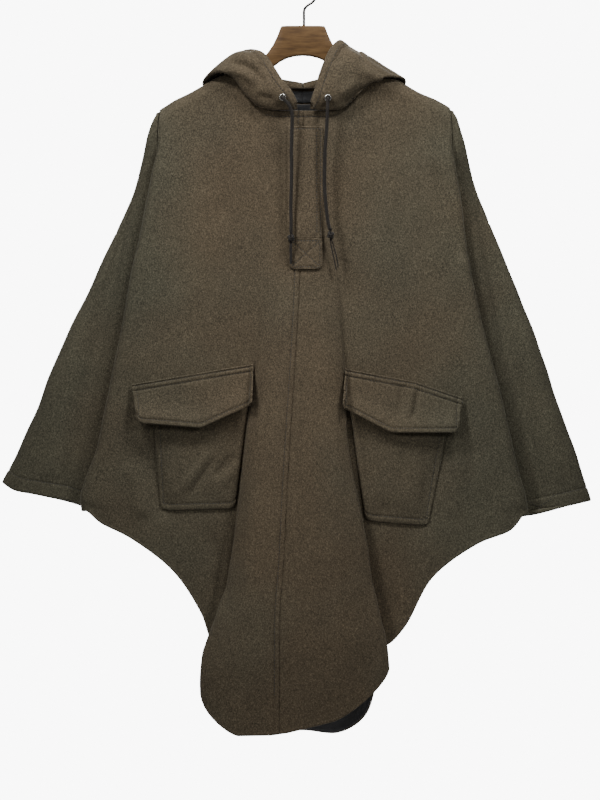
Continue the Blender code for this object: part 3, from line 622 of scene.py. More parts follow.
@dataclass(frozen=True)
class ThreadWithPaintedShade:
    """Matt thread darker than the wool it sinks into: its dark colour is partly the thread's own and partly
    painted shade, standing in for the shadow in the stitch grooves.
    """

    name: str = "thread_look"
    slot: str = "wool"
    # dark enough to paint the shade of the stitch grooves as well as the thread's own colour
    colour: Colour = (0.009, 0.0075, 0.005)

    def made(self) -> Finish:
        """Build the shader."""
        shader = Shader(self.name, self.slot)
        strand = shader.noise(shader.place(), 1800.0, 1.0)
        light = tuple(1.9 * part for part in self.colour)
        colour = shader.ramp(strand, ((0.3, self.colour), (0.7, light)))
        return shader.finish(Base_Color=colour, Roughness=0.7, Normal=shader.bump(strand, 0.0002, 0.5))


@dataclass(frozen=True)
class PlatedSteel:
    """Bright nickel-plated steel with fine rubbing marks."""

    name: str = "metal_look"
    slot: str = "metal"
    colour: Colour = (0.66, 0.65, 0.62)

    def made(self) -> Finish:
        """Build the shader."""
        shader = Shader(self.name, self.slot)
        rub = shader.noise(shader.place((1.0, 1.0, 5.0)), 380.0, 3.0, 0.6)
        roughness = shader.ramp(rub, ((0.3, (0.18,) * 3), (0.7, (0.34,) * 3)))
        dull = tuple(0.72 * part for part in self.colour)
        colour = shader.ramp(rub, ((0.25, dull), (0.6, self.colour)))
        rubbed = shader.bump(rub, 0.00008, 0.5)
        return shader.finish(Base_Color=colour, Metallic=1.0, Roughness=roughness, Normal=rubbed)


@dataclass(frozen=True)
class DarkWire(PlatedSteel):
    """The hanger's hook, in blackened steel."""

    name: str = "wire_look"
    colour: Colour = (0.055, 0.053, 0.050)


@dataclass(frozen=True)
class VarnishedWood:
    """Warm brown wood with its grain across the hanger, under a satin varnish."""

    name: str = "wood_look"
    slot: str = "wood"
    dark: Colour = (0.042, 0.020, 0.006)
    middle: Colour = (0.082, 0.043, 0.014)
    light: Colour = (0.120, 0.068, 0.025)

    def made(self) -> Finish:
        """Build the shader."""
        shader = Shader(self.name, self.slot)
        where = shader.place((0.16, 1.0, 1.0))
        rings = shader.noise(where, 150.0, 4.0, 0.65)
        pores = shader.noise(shader.place((0.05, 1.0, 1.0)), 900.0, 2.0, 0.6)
        grain = shader.math("ADD", shader.math("MULTIPLY", rings, 0.75), shader.math("MULTIPLY", pores, 0.25))
        colour = shader.ramp(grain, ((0.34, self.dark), (0.50, self.middle), (0.68, self.light)))
        normal = shader.bump(pores, 0.0002, 0.35)
        return shader.finish(Base_Color=colour, Roughness=0.5, Normal=normal, Specular_IOR_Level=0.3,
                             Coat_Weight=0.08, Coat_Roughness=0.3)


@dataclass(frozen=True)
class Finishes:
    """The materials that the pieces share."""

    wool: Finish
    lining: Finish
    cord: Finish
    thread: Finish
    metal: Finish
    wire: Finish
    wood: Finish

    @classmethod
    def made(cls) -> "Finishes":
        """Build them all."""
        return cls(MeltonWool().made(), SmoothLining().made(), BraidedCord().made(),
                   ThreadWithPaintedShade().made(), PlatedSteel().made(), DarkWire().made(), VarnishedWood().made())


# ---------------------------------------------------------------- the body's feature lines

WOOL = 2.8
PATCH = 2.4
LINING = 1.0
RIDGE_GAP = 0.6
RIDGE_SLACK = 1.5
EDGE_ROUND = 0.42
TIP_DOME = 0.4
CLOTH_GRID = 4.5
LAYER_STEP = 9.0
SHOULDER_ROUND = 15.0


@dataclass(frozen=True)
class HalfLines:
    """Feature lines of one side of the garment, in front; each row starts with its 'down'."""

    roll: Table
    fold: Table
    foot_past: Table
    side_rails: Table
    roll_ends: Table
    fold_ends: tuple[float, float]
    outer: Table


LINES = {
    Side.LEFT: HalfLines(
        roll=((190, -26), (364, -34), (484, -47), (604, -68), (754, -90), (844, -101),
              (919, -115), (979, -133), (1020, -150), (1060, -153), (1100, -146)),
        fold=((190, -213), (253, -219), (314, -229), (390, -244), (445, -257), (538, -273),
              (604, -287), (661, -298), (707, -307), (754, -326), (785, -333), (810, -328)),
        foot_past=((190, -24), (300, -24), (400, -22), (500, -18), (600, -12), (700, -5), (800, 3), (900, 12),
                   (1000, 18), (1150, 18)),
        side_rails=((0.15, 0.07, 185, 993, 982), (0.215, 0.20, 126, 953, 937), (0.45, 0.42, 146, 890, 876),
                    (0.73, 0.70, 172, 841, 835), (0.88, 0.90, 184, 817, 812)),
        roll_ends=((201, 1128), (201, 1129), (201, 1074), (199, 994)),
        fold_ends=(201, 800),
        outer=((204.5, -219.5), (210, -223), (218.5, -227), (232, -232), (262, -241.5), (298, -255),
               (352, -276), (406, -297.5), (463, -320), (526, -349.5), (604, -384), (646, -398.5),
               (686, -417.5), (722, -433), (758, -452))),
    Side.RIGHT: HalfLines(
        roll=((190, 28), (364, 34), (454, 46), (544, 54), (634, 60), (709, 66), (784, 81),
              (844, 93), (919, 104), (1001, 123), (1030, 127), (1100, 118)),
        fold=((190, 219), (253, 225), (314, 232), (373, 240), (445, 250), (526, 268), (604, 289),
              (649, 300), (716, 316), (751, 324), (773, 331), (810, 338)),
        foot_past=((190, -20), (300, -16), (400, -12), (500, -10), (600, -7), (700, 0), (800, 7), (900, 12),
                   (1000, 14), (1150, 14)),
        side_rails=((0.15, 0.07, 185, 1000, 986), (0.215, 0.21, 122, 973, 942), (0.45, 0.42, 142, 900, 875),
                    (0.73, 0.70, 171, 849, 841), (0.88, 0.90, 182, 828, 821)),
        roll_ends=((201, 1128), (201, 1103), (201, 1036), (199, 998)),
        fold_ends=(198, 806),
        outer=((202.5, 226), (207, 229.5), (214, 232.5), (228, 236.5), (250, 244), (280, 255), (334, 274.5),
               (388, 293.5), (433, 310), (526, 343.8), (604, 371.5), (646, 385), (694, 403),
               (742, 419.5), (785, 433))),
}
CENTRE_SEAM = ((190, 1), (439, -4.5), (754, -22.5), (874, -28.5), (964, -34.5), (1150, -35))
# down, forward at the crest
CREST = ((190, 35), (300, 38), (400, 44), (500, 54), (600, 66), (700, 78), (800, 88), (900, 97),
         (1000, 105), (1150, 110))
# down, forward at the roll's foot, forward at the sleeve fold
PANEL_FORWARD = ((190, 31, 14), (250, 32, 21), (300, 32, 27), (400, 33, 31), (500, 35, 33),
                 (600, 38, 35), (700, 41, 35), (800, 43, 33), (900, 44, 32), (1150, 46, 32))
FOLD_TUCK = ((190, 0), (215, 2), (253, 8), (314, 20), (400, 28), (500, 33), (600, 36), (700, 34), (810, 30))
# down, and how far behind the middle: the back's foot, its sleeve fold, its crest
BACK_DEPTH = ((170, 22, 14, 24), (250, 28, 21, 29), (300, 31, 27, 33), (400, 34, 31, 38),
              (500, 36, 33, 44), (600, 39, 35, 52), (700, 42, 35, 60), (800, 44, 33, 68),
              (900, 46, 32, 76), (1000, 47, 32, 82), (1150, 48, 32, 86))
BACK_ROLL = ((190, 30), (400, 44), (600, 62), (800, 84), (919, 98), (1000, 108), (1060, 104), (1150, 88))
BACK_ROLL_ENDS = ((187, 1138), (186, 1141), (184, 1112), (180, 992))
BACK_FOLD_INSET = 4.0
BACK_FOOT_PAST = -20.0
BACK_NECK_SIDE = 172.0
BACK_HEM_RISE = 5.0
FOLD_OPEN_AT = 22.0
# shut inward, shut share of depth, open inward, share of tuck, open layers behind, rise at its top
FOLD_PATH = ((8.0, 1.00, 6.0, 0, 0.00, 9.0), (5.5, 0.99, 0.0, 0, 0.50, 7.5),
             (3.0, 0.97, 5.0, 0, 1.00, 6.0), (1.0, 0.94, -1.0, 1, 1.20, 4.5),
             (-1.0, 0.90, 0.0, 1, 1.50, 3.0), (-3.0, 0.86, -1.0, 1, 1.80, 1.3),
             (-6.0, 0.80, -6.0, 1, 2.00, 0.0))
SHOULDER_CORNER = 20.0
SLEEVE_TOP_DROP = 2.0
CUFF_SAG = {Side.LEFT: (-1.5, 3.0, 6.0), Side.RIGHT: (4.0, 2.0, 0.5)}
BACK_CUFF_DROP = 5.0
ROLL_SHOULDER = 0.62
NECK_SINK = 4.5


def row_shares(count: int, hem_rows: int = 5, hem_share: float = 0.012, ease: float = 1.25) -> Array:
    """Shares down a sheet, close together over the shoulder and again at its hem."""
    body = np.linspace(0, 1, count) ** ease * (1 - hem_share)
    return np.concatenate([body, 1 - hem_share + hem_share * np.linspace(0, 1, hem_rows + 1)[1:]])


@dataclass(frozen=True)
class Half:
    """The feature lines of one side, on the front or the back."""

    side: Side
    face: Face

    @property
    def lines(self) -> HalfLines:
        """The side's own tables."""
        return LINES[self.side]

    @property
    def depth(self) -> Table:
        """The table of depths for this face."""
        return PANEL_FORWARD if self.face is Face.FRONT else BACK_DEPTH

    def roll(self, down: Array) -> Array:
        """Across at the edge of the round fold in the middle."""
        if self.face is Face.FRONT:
            return read(self.lines.roll, down)
        return self.side.value * read(BACK_ROLL, down)

    def foot(self, down: Array) -> Array:
        """Across where the round fold's side meets the flatter cloth behind it."""
        past = read(self.lines.foot_past, down) if self.face is Face.FRONT else BACK_FOOT_PAST
        return self.roll(down) - self.side.value * past

    def fold(self, down: Array) -> Array:
        """Across at the fold that hides the sleeve's beginning."""
        inset = 0.0 if self.face is Face.FRONT else BACK_FOLD_INSET
        return read(self.lines.fold, down) - self.side.value * inset

    def crest(self, down: Array) -> Array:
        """Depth at the middle of the round fold."""
        return read(CREST, down) if self.face is Face.FRONT else read(BACK_DEPTH, down, 3)

    @property
    def fold_ends(self) -> tuple[float, float]:
        """Down at the top and at the hem of the sleeve fold."""
        top, hem = self.lines.fold_ends
        return (top, hem) if self.face is Face.FRONT else (top, hem - BACK_HEM_RISE)

    @staticmethod
    def ridge(down: Array, top: float, depth: Array) -> Array:
        """Depth of cloth that rounds over the shoulder's ridge at its top."""
        reach = np.clip((down - top) / SHOULDER_ROUND, 0, 1)
        return depth * np.sqrt(1 - (1 - reach) ** 2)

    def place(self, across: Array, down: Array, depth: Array) -> Array:
        """Points on this face of the garment."""
        return points(across, down, self.face.value * depth)

    def roll_rails(self, shares: Array) -> list[Array]:
        """The middle, the shoulder of its forward roll, the roll's edge and its foot."""
        front = self.face is Face.FRONT
        ends = self.lines.roll_ends if front else BACK_ROLL_ENDS
        seam, shoulder, edge, foot = (top + (hem - top) * shares for top, hem in ends)
        middle = CENTRE_SEAM if front else ((0, 0), (2000, 0))
        rails = [self.place(read(middle, seam), seam, self.crest(seam))]
        start = read(middle, shoulder)
        across = start + ROLL_SHOULDER * (self.roll(shoulder) - start)
        for down, out, share in ((shoulder, across, 0.88), (edge, self.roll(edge), 0.42)):
            depth = read(self.depth, down)
            rails.append(self.place(out, down, depth + share * (self.crest(down) - depth)))
        rails.append(self.place(self.foot(foot), foot, read(self.depth, foot)))
        return rails

    def panel_rails(self, shares: Array) -> list[Array]:
        """The flatter cloth between the roll's foot and the sleeve fold."""
        rails = []
        for k, (share_top, share_hem, top, hem, back_hem) in enumerate(self.lines.side_rails):
            if self.face is Face.BACK:
                top, hem = (BACK_NECK_SIDE if k == 0 else top), back_hem
            down = top + (hem - top) * shares
            share = share_top + (share_hem - share_top) * shares
            across = self.foot(down) + share * (self.fold(down) - self.foot(down))
            depth = read(self.depth, down) * (1 - share) + read(self.depth, down, 2) * share
            depth = self.ridge(down, top, depth) if k else depth - NECK_SINK * bell(down - top, 30.0)
            rails.append(self.place(across, down, depth))
        return rails

    def fold_rails(self, down: Array) -> list[Array]:
        """The fold that hides where the sleeve begins, from its front to the sleeve's own layer."""
        top = self.fold_ends[0]
        depth = self.ridge(down, top, read(self.depth, down, 2))
        tuck = read(FOLD_TUCK, down)
        opened = smooth_step(tuck / FOLD_OPEN_AT)
        rails = []
        for shut_in, shut_depth, open_in, tucked, layers, rise in FOLD_PATH:
            inward = shut_in + (open_in + tucked * tuck - shut_in) * opened
            forward = depth * shut_depth
            forward = forward + (depth - layers * LAYER_STEP - forward) * opened
            raised = down - rise * np.exp((top - down) / SHOULDER_CORNER)
            rails.append(self.place(self.fold(down) - self.side.value * inward, raised, forward))
        return rails

    def body_rails(self, shares: Array) -> list[Array]:
        """Every rail from the middle to the sleeve's own layer."""
        top, hem = self.fold_ends
        fold = self.fold_rails(top + (hem - top) * shares)
        return self.roll_rails(shares) + self.panel_rails(shares) + fold

    def sleeve_rails(self, shares: Array) -> tuple[list[Array], Array]:
        """From inside the fold to just short of the sleeve's outer edge, and that edge."""
        top, hem = self.fold_ends
        drop = BACK_CUFF_DROP + BACK_HEM_RISE if self.face is Face.BACK else 0.0
        inner = top + SLEEVE_TOP_DROP + (hem - top - SLEEVE_TOP_DROP) * shares + drop * shares**6
        outer_line = self.lines.outer
        outer = outer_line[0][0] + (outer_line[-1][0] - outer_line[0][0]) * shares
        across = read(outer_line, outer)
        rails = self.fold_rails(inner)[2:]
        start = rails[-1]
        for share, depth, sag in zip((0.33, 0.66, 0.88), (1.0, 1.0, 0.84), CUFF_SAG[self.side]):
            down = inner + (outer - inner) * share + sag * shares**6
            rails.append(points(start[:, 0] + (across - start[:, 0]) * share, down, -start[:, 1] * depth))
        return rails, points(across, outer, 0.0)


# ---------------------------------------------------------------- sewing

class Edge(Enum):
    """An edge of a sheet: its first or last column, or its first or last row."""

    FIRST = "first"
    LAST = "last"
    TOP = "top"
    HEM = "hem"


def from_edge(values: Array, edge: Edge) -> Array:
    """The sheet's values turned so that the edge comes first."""
    if edge in (Edge.TOP, Edge.HEM):
        values = np.swapaxes(values, 0, 1)
    return values[::-1] if edge in (Edge.LAST, Edge.HEM) else values


def to_sheet(values: Array, edge: Edge) -> Array:
    """Undo from_edge."""
    values = values[::-1] if edge in (Edge.LAST, Edge.HEM) else values
    return np.swapaxes(values, 0, 1) if edge in (Edge.TOP, Edge.HEM) else values


def distance_in(grid: Array) -> Array:
    """How far each point is from the first column, along the cloth."""
    steps = np.linalg.norm(np.diff(grid[..., :3], axis=0), axis=2)
    return np.concatenate([np.zeros((1, steps.shape[1])), np.cumsum(steps, axis=0)])


HEM_GROOVE = 1.8
HEM_SINK = 1.7
HEM_ROUND = 3.0


@dataclass(frozen=True)
class Hem:
    """A turned and topstitched edge of a sheet."""

    edge: Edge
    offset: float
    groove: float = 1.3
    swell: float = 0.6
    sink: float = 0.0
    fine: float = 1.2

    def refined(self, skin: Skin) -> Skin:
        """The skin with close rows along this edge, at set distances from it."""
        values = from_edge(np.concatenate([skin.grid, skin.normal], axis=-1), self.edge)
        marks = np.arange(0.0, self.offset + 4 * self.fine, self.fine)
        along = distance_in(values)
        keep = int(np.argmax(along.min(axis=1) > marks[-1] + self.fine / 3))
        fresh = np.empty((len(marks),) + values.shape[1:])
        for j, axis in np.ndindex(values.shape[1:]):
            fresh[:, j, axis] = np.interp(marks, along[:, j], values[:, j, axis])
        both = to_sheet(np.concatenate([fresh, values[keep:]]), self.edge)
        return Skin(both[..., :3].copy(), unit(both[..., 3:]))

    def rise(self, skin: Skin) -> Array:
        """How far the turned edge and its stitched groove lift the cloth."""
        apart = distance_in(from_edge(skin.grid, self.edge))
        groove = self.groove * bell(apart - self.offset, HEM_GROOVE) + self.sink * bell(apart, HEM_SINK)
        inside = smooth_step((self.offset + HEM_ROUND / 2 - apart) / HEM_ROUND)
        swell = self.swell * inside * smooth_step(0.3 + apart / HEM_ROUND)
        return to_sheet(swell - groove, self.edge)

    def line(self, skin: Skin, lift: float) -> tuple[Array, Array]:
        """The line of stitching, on the cloth's face, and the way the cloth faces along it."""
        grid, normal = from_edge(skin.face(lift), self.edge), from_edge(skin.normal, self.edge)
        along = distance_in(grid)
        both = np.concatenate([grid, normal], axis=-1)
        found = np.array([[np.interp(self.offset, along[:, j], both[:, j, axis]) for axis in range(6)]
                          for j in range(both.shape[1])])
        return found[:, :3], unit(found[:, 3:])


# each ring of a stitch: share of its length, rise and width, both in radii of the thread
STITCH = ((0.0, -0.9, 0.35), (0.2, -0.15, 0.9), (0.5, 0.25, 1.0), (0.8, -0.15, 0.9), (1.0, -0.9, 0.35))
STITCH_SIDES = 6


@dataclass
class Sewing:
    """Stitches gathered into one piece."""

    name: str
    finish: Finish
    pitch: float = 4.2
    filled: float = 0.82
    radius: float = 0.7
    sunk: float = 0.1
    vertices: list[Array] = field(default_factory=list)
    faces: list[list[int]] = field(default_factory=list)
    count: int = 0

    def along(self, path: Array, normal: Array) -> None:
        """Add a row of stitches along a line on cloth that faces the given ways."""
        where = length_along(path)
        number = max(1, round(where[-1] / self.pitch))
        start = (np.arange(number) + 0.5 * (1 - self.filled)) * where[-1] / number
        reach = self.filled * where[-1] / number
        share, rise, girth = np.array(STITCH).T
        at = start[:, None] + reach * share
        centre, facing = taken_at(at, where, path), unit(taken_at(at, where, normal))
        ahead = unit(centre[:, -1:] - centre[:, :1])
        side = unit(np.cross(facing, ahead))
        centre = centre + facing * (rise * self.radius - self.sunk)[:, None]
        turn = np.linspace(0, 2 * math.pi, STITCH_SIDES, endpoint=False)
        spoke = np.cos(turn)[:, None] * side[..., None, :] + np.sin(turn)[:, None] * facing[..., None, :]
        rings = centre[..., None, :] + spoke * (girth * self.radius)[:, None, None]
        shape = (number, len(STITCH), STITCH_SIDES)
        base = self.count + np.arange(math.prod(shape)).reshape(shape)
        self.vertices.append(rings.reshape(-1, 3))
        self.faces += band(base[:, :-1], base[:, 1:], axis=2).reshape(-1, 4).tolist()
        self.faces += base[:, 0, ::-1].tolist() + base[:, -1].tolist()
        self.count += base.size

    def build(self) -> bpy.types.Object:
        """Make the piece of all the stitches added so far."""
        return new_mesh(self.name, np.concatenate(self.vertices), self.faces, self.finish)


# ---------------------------------------------------------------- hood sections

# Each section runs from the neck seam out under the hood, round its roll and back to the face edge:
# seam, crest, under, roll, top, edge, and each of those is (across, down, forward).
HOOD_SECTIONS = {
    Side.LEFT: (
        ((-10, 199, 40), (-12, 197, 42), (-13.5, 195, 43), (-14, 192, 44), (-12.5, 189.5, 44),
         (-9.5, 187, 43)),
        ((-27, 199.5, 39), (-32, 198, 41), (-35, 194, 43), (-34, 187, 47), (-27, 178, 49), (-17, 172, 45)),
        ((-47, 199, 37), (-56, 196, 39), (-62, 190, 42), (-61, 178, 47), (-48, 164, 50), (-31, 155, 43)),
        ((-64, 195, 33), (-74, 187, 36), (-81, 176, 39), (-82, 161, 43), (-66, 142, 47), (-45, 133, 38)),
        ((-78, 180, 28), (-88, 168, 33), (-99, 156, 35), (-106, 143, 38), (-86, 122, 39), (-58, 115, 26)),
        ((-79, 155, 18), (-87, 132, 32), (-105, 137, 34), (-127, 140, 31), (-100, 114, 23), (-72, 108, 8)),
        ((-81, 121, 0), (-88, 113, 2), (-115, 132, 2), (-149, 152, 4), (-109, 116, 0), (-82, 107, -12)),
        ((-80, 146, -24), (-94, 124, -31), (-117, 140, -38), (-147, 175, -33), (-122, 138, -40),
         (-80, 110, -26)),
        ((-78, 168, -30), (-88, 148, -36), (-108, 190, -42), (-126, 242, -44), (-110, 180, -60),
         (-76, 122, -44)),
        ((-46, 182, -32), (-52, 160, -37), (-70, 240, -46), (-80, 330, -52), (-70, 240, -74),
         (-46, 142, -57)),
        ((0, 184, -32), (0, 162, -37), (0, 262, -48), (0, 372, -57), (0, 262, -81), (0, 152, -62)),
    ),
    Side.RIGHT: (
        ((12, 199, 40), (14, 197, 42), (15.5, 195, 43), (16, 192, 44), (14.5, 189.5, 44), (11.5, 187, 43)),
        ((29, 199.5, 39), (34, 198, 41), (38, 193, 43), (38, 186, 47), (29, 176, 49), (18, 168, 45)),
        ((48, 199, 37), (56, 196, 39), (63, 188, 42), (63, 176, 46), (45, 158, 49), (25, 145, 43)),
        ((63, 194, 33), (72, 185, 36), (81, 173, 38), (84, 160, 42), (60, 134, 46), (33, 124, 38)),
        ((77, 178, 28), (88, 165, 32), (102, 154, 35), (114, 152, 36), (79, 118, 37), (43, 104, 26)),
        ((79, 152, 18), (87, 129, 32), (106, 135, 34), (131, 148, 29), (90, 119, 22), (54, 93, 8)),
        ((81, 117, 0), (87, 110, 2), (112, 129, 2), (150, 155, 4), (102, 121, 0), (60, 97, -12)),
        ((80, 144, -24), (94, 124, -31), (117, 140, -38), (148, 178, -33), (112, 137, -40), (64, 104, -26)),
        ((78, 168, -30), (88, 148, -36), (108, 190, -42), (128, 244, -44), (108, 178, -60), (64, 118, -44)),
        ((46, 182, -32), (52, 160, -37), (70, 240, -46), (80, 330, -52), (70, 240, -74), (40, 140, -57)),
        ((0, 184, -32), (0, 162, -37), (0, 262, -48), (0, 372, -57), (0, 262, -81), (0, 152, -62)),
    ),
}
HOOD_CLEARANCE = 4.7
HOOD_GRID = 3.6
HOOD_STEPS = 14

# ---------------------------------------------------------------- creases, seen from the front: across, down

FRONT_CREASES = (
    Crease(((-212, 222), (-220, 300), (-236, 400), (-258, 520), (-280, 620), (-302, 720), (-318, 790)),
           2.2, 9, 22, 0.15, 0.0),
    Crease(((213, 222), (226, 300), (240, 400), (262, 520), (286, 620), (308, 720), (326, 795)),
           2.2, 22, 9, 0.15, 0.0),
    Crease(((193, 271), (205, 320), (222, 370), (240, 430)), -3.0, 9, 14, 0.2, 0.1),
    Crease(((178, 262), (190, 320), (206, 380), (222, 450)), 1.6, 16, 12),
    Crease(((-132, 205), (-130, 300), (-128, 400)), -1.6, 18, 18),
    Crease(((-184, 235), (-188, 380), (-200, 540)), -1.8, 20, 20),
    Crease(((-158, 225), (-160, 360), (-168, 500)), 1.4, 18, 18),
    Crease(((100, 205), (102, 300), (104, 400)), -1.5, 18, 18),
    Crease(((145, 215), (150, 320), (160, 430)), -1.5, 18, 18),
    Crease(((124, 210), (128, 320), (136, 430)), 1.2, 18, 18),
    Crease(((-141, 712), (-170, 742), (-192, 777)), -1.6, 6, 10),
    Crease(((-100, 716), (-120, 736), (-138, 754)), -1.3, 6, 9),
    Crease(((-205, 803), (-190, 812), (-178, 820)), -1.4, 7, 7),
    Crease(((-42, 1084), (-58, 1094), (-72, 1102)), -1.2, 6, 8),
    Crease(((-60, 620), (-66, 760), (-74, 900), (-80, 1020)), 2.0, 16, 20),
    Crease(((40, 620), (46, 760), (58, 900), (70, 1000)), 1.6, 16, 20),
    Crease(((-100.5, 784), (-108, 844), (-117, 904), (-124.5, 958), (-133.5, 988), (-132, 1018),
           (-126, 1042)),
           2.6, 9, 4, 0.25, 0.2),
    Crease(((-108, 790), (-116, 850), (-126, 910), (-134, 958), (-142, 990), (-141, 1020)),
           -2.2, 6, 6, 0.3, 0.3),
    Crease(((100.5, 898), (106, 940), (111, 976), (116, 1000)), 2.0, 3.5, 7, 0.3, 0.3),
    Crease(((119, 966), (124, 990), (129, 1014)), 1.8, 3.5, 4, 0.3, 0.3),
    Crease(((194, 271), (206, 320), (222, 370), (240, 430)), -1.8, 5, 7, 0.15, 0.15),
    Crease(((-28, 1084), (-34, 1094), (-48, 1102)), -1.0, 4, 6),
    Crease(((-250, 560), (-262, 660), (-276, 740)), -2.0, 14, 18),
    Crease(((-240, 690), (-222, 750), (-196, 816)), -5.0, 20, 16, 0.3, 0.2),
    Crease(((-262, 720), (-250, 770), (-240, 812)), 3.5, 12, 12, 0.3, 0.1),
    Crease(((-150, 812), (-128, 870), (-116, 940)), -3.0, 14, 10, 0.3, 0.3),
    Crease(((206, 700), (190, 780), (164, 860)), -3.5, 14, 16, 0.3, 0.3),
    Crease(((236, 700), (232, 760), (226, 812)), 2.6, 12, 12, 0.3, 0.1),
    Crease(((232, 560), (244, 660), (262, 760)), -2.2, 12, 18),
)
SLEEVE_CREASES = (
    Crease(((-235, 232), (-252, 300), (-276, 400), (-300, 520), (-322, 640), (-345, 760), (-352, 800)),
           -11.0, 22, 12, 0.18, 0.0),
    Crease(((235, 232), (256, 310), (280, 420), (302, 540), (326, 650), (346, 740), (356, 800)),
           -11.0, 12, 22, 0.18, 0.0),
    Crease(((-330, 520), (-352, 600), (-372, 690), (-384, 760)), 2.2, 16, 20, 0.3, 0.1),
    Crease(((322, 480), (350, 600), (374, 700), (388, 770)), 2.2, 20, 16, 0.3, 0.1),
)
BACK_CREASES = (
    Crease(((-150, 240), (-158, 380), (-176, 560)), -2.0, 20, 18),
    Crease(((-120, 260), (-124, 420), (-132, 560)), 1.6, 18, 20),
    Crease(((128, 230), (140, 380), (162, 580)), -2.2, 18, 22),
    Crease(((96, 240), (104, 400), (118, 600)), 1.5, 18, 18),
    Crease(((-30, 420), (-38, 620), (-46, 860)), 2.2, 18, 22),
    Crease(((42, 440), (52, 640), (58, 900)), 2.0, 20, 18),
    Crease(((-236, 520), (-254, 640), (-280, 760)), -2.4, 14, 20),
    Crease(((220, 500), (246, 640), (272, 760)), -2.0, 16, 16),
    Crease(((-70, 960), (-40, 1010), (10, 1060)), -1.6, 10, 10),
)
HOOD_CREASES = (
    Crease(((-142, 150), (-112, 140), (-86, 148), (-66, 166)), 3.6, 6, 8),
    Crease(((-124, 130), (-92, 132), (-68, 148), (-54, 170)), -3.6, 7, 7),
    Crease(((-108, 120), (-82, 122), (-58, 138)), 2.4, 8, 8),
    Crease(((-40, 184), (-56, 182), (-70, 176)), -2.2, 5, 6),
    Crease(((78, 118), (106, 132), (136, 149)), -4.0, 6, 7),
    Crease(((86, 138), (104, 147), (126, 157)), 3.0, 7, 6),
    Crease(((56, 196), (74, 184), (98, 166)), -3.0, 6, 7),
    Crease(((50, 178), (64, 170), (84, 152)), 2.6, 7, 7),
    Crease(((62, 110), (76, 132), (88, 156)), 1.8, 8, 8),
)


# ---------------------------------------------------------------- garment

def raised(skin: Skin, lift: Array) -> Skin:
    """The skin moved out by a lift that varies over it, with its seams still facing as they did."""
    grid = skin.grid + skin.normal * lift[..., None]
    normal = facings_of(grid)
    for edge in (np.s_[0], np.s_[-1], np.s_[:, 0]):
        normal[edge] = skin.normal[edge]
    return Skin(grid, normal)


SEAM_SHUT = 0.3
FOLD_SEAM_SHUT = 2.6
RIDGE_FADE = 30.0
UNEVEN = 0.9
SEAM_STITCH = 8.5
HEM_EDGE = 3.0
CUFF_STITCH = 20.0
NECK_STITCH = 8.5
NECK_HALF = 56.0
HOOD_STITCH = 12.0
BAR_TACK = 1079.0
NECK_CORNER = (79.0, 196.0)
EASE_REACH = 16.0
EASE_BELOW = 6.0
EASE_PASSES = 30


def eased(skin: Skin) -> Skin:
    """The skin smoothed from column to column where the neckline turns into the shoulder."""
    grid = skin.grid.copy()
    below = to_sheet(distance_in(from_edge(grid, Edge.TOP)), Edge.TOP)
    apart = np.hypot(np.abs(grid[..., 0]) - NECK_CORNER[0], -grid[..., 2] - NECK_CORNER[1])
    near = (bell(apart, EASE_REACH) * smooth_step(below / EASE_BELOW))[1:-1, :, None]
    for _ in range(EASE_PASSES):
        grid[1:-1] += near * ((grid[:-2] + grid[2:]) / 2 - grid[1:-1])
    return raised(Skin(grid, skin.normal), np.zeros(below.shape))


def shaped(skin: Skin, creases: tuple[Crease, ...], hems: tuple[Hem, ...] = ()) -> Skin:
    """The skin with its sewn edges, its creases and slight waves, which fade towards the shoulder's ridge.

    Args:
        skin: the smooth sheet.
        creases: the ridges and troughs that cross it.
        hems: its turned and stitched edges.

    Returns:
        The shaped sheet.
    """
    for hem in hems:
        skin = hem.refined(skin)
    across, down = skin.grid[..., 0], -skin.grid[..., 2]
    lift = unevenness(across, down, UNEVEN)
    for crease in creases:
        lift = lift + crease.rise(across, down)
    lift = lift * smooth_step(to_sheet(distance_in(from_edge(skin.grid, Edge.TOP)), Edge.TOP) / RIDGE_FADE)
    for hem in hems:
        lift = lift + hem.rise(skin)
    return raised(skin, lift)


LINING_LIFT = 1.4
# name, the cloth that it lines, and the shares of its columns and of its rows
LININGS = (
    ("neck_facing", "back", (0.332, 0.658), (0.0, 0.049)),
    ("back_lining", "back", (0.437, 0.600), (0.865, 1.0)),
    ("hood_lining_left", "hood_left", (0.0, 0.045), (0.714, 1.0)),
    ("hood_lining_right", "hood_right", (0.957, 1.0), (0.714, 1.0)),
    ("cuff_lining_left", "sleeve_left", (0.574, 0.944), (0.675, 1.0)),
    ("cuff_lining_right", "sleeve_right", (0.057, 0.434), (0.692, 1.0)),
)


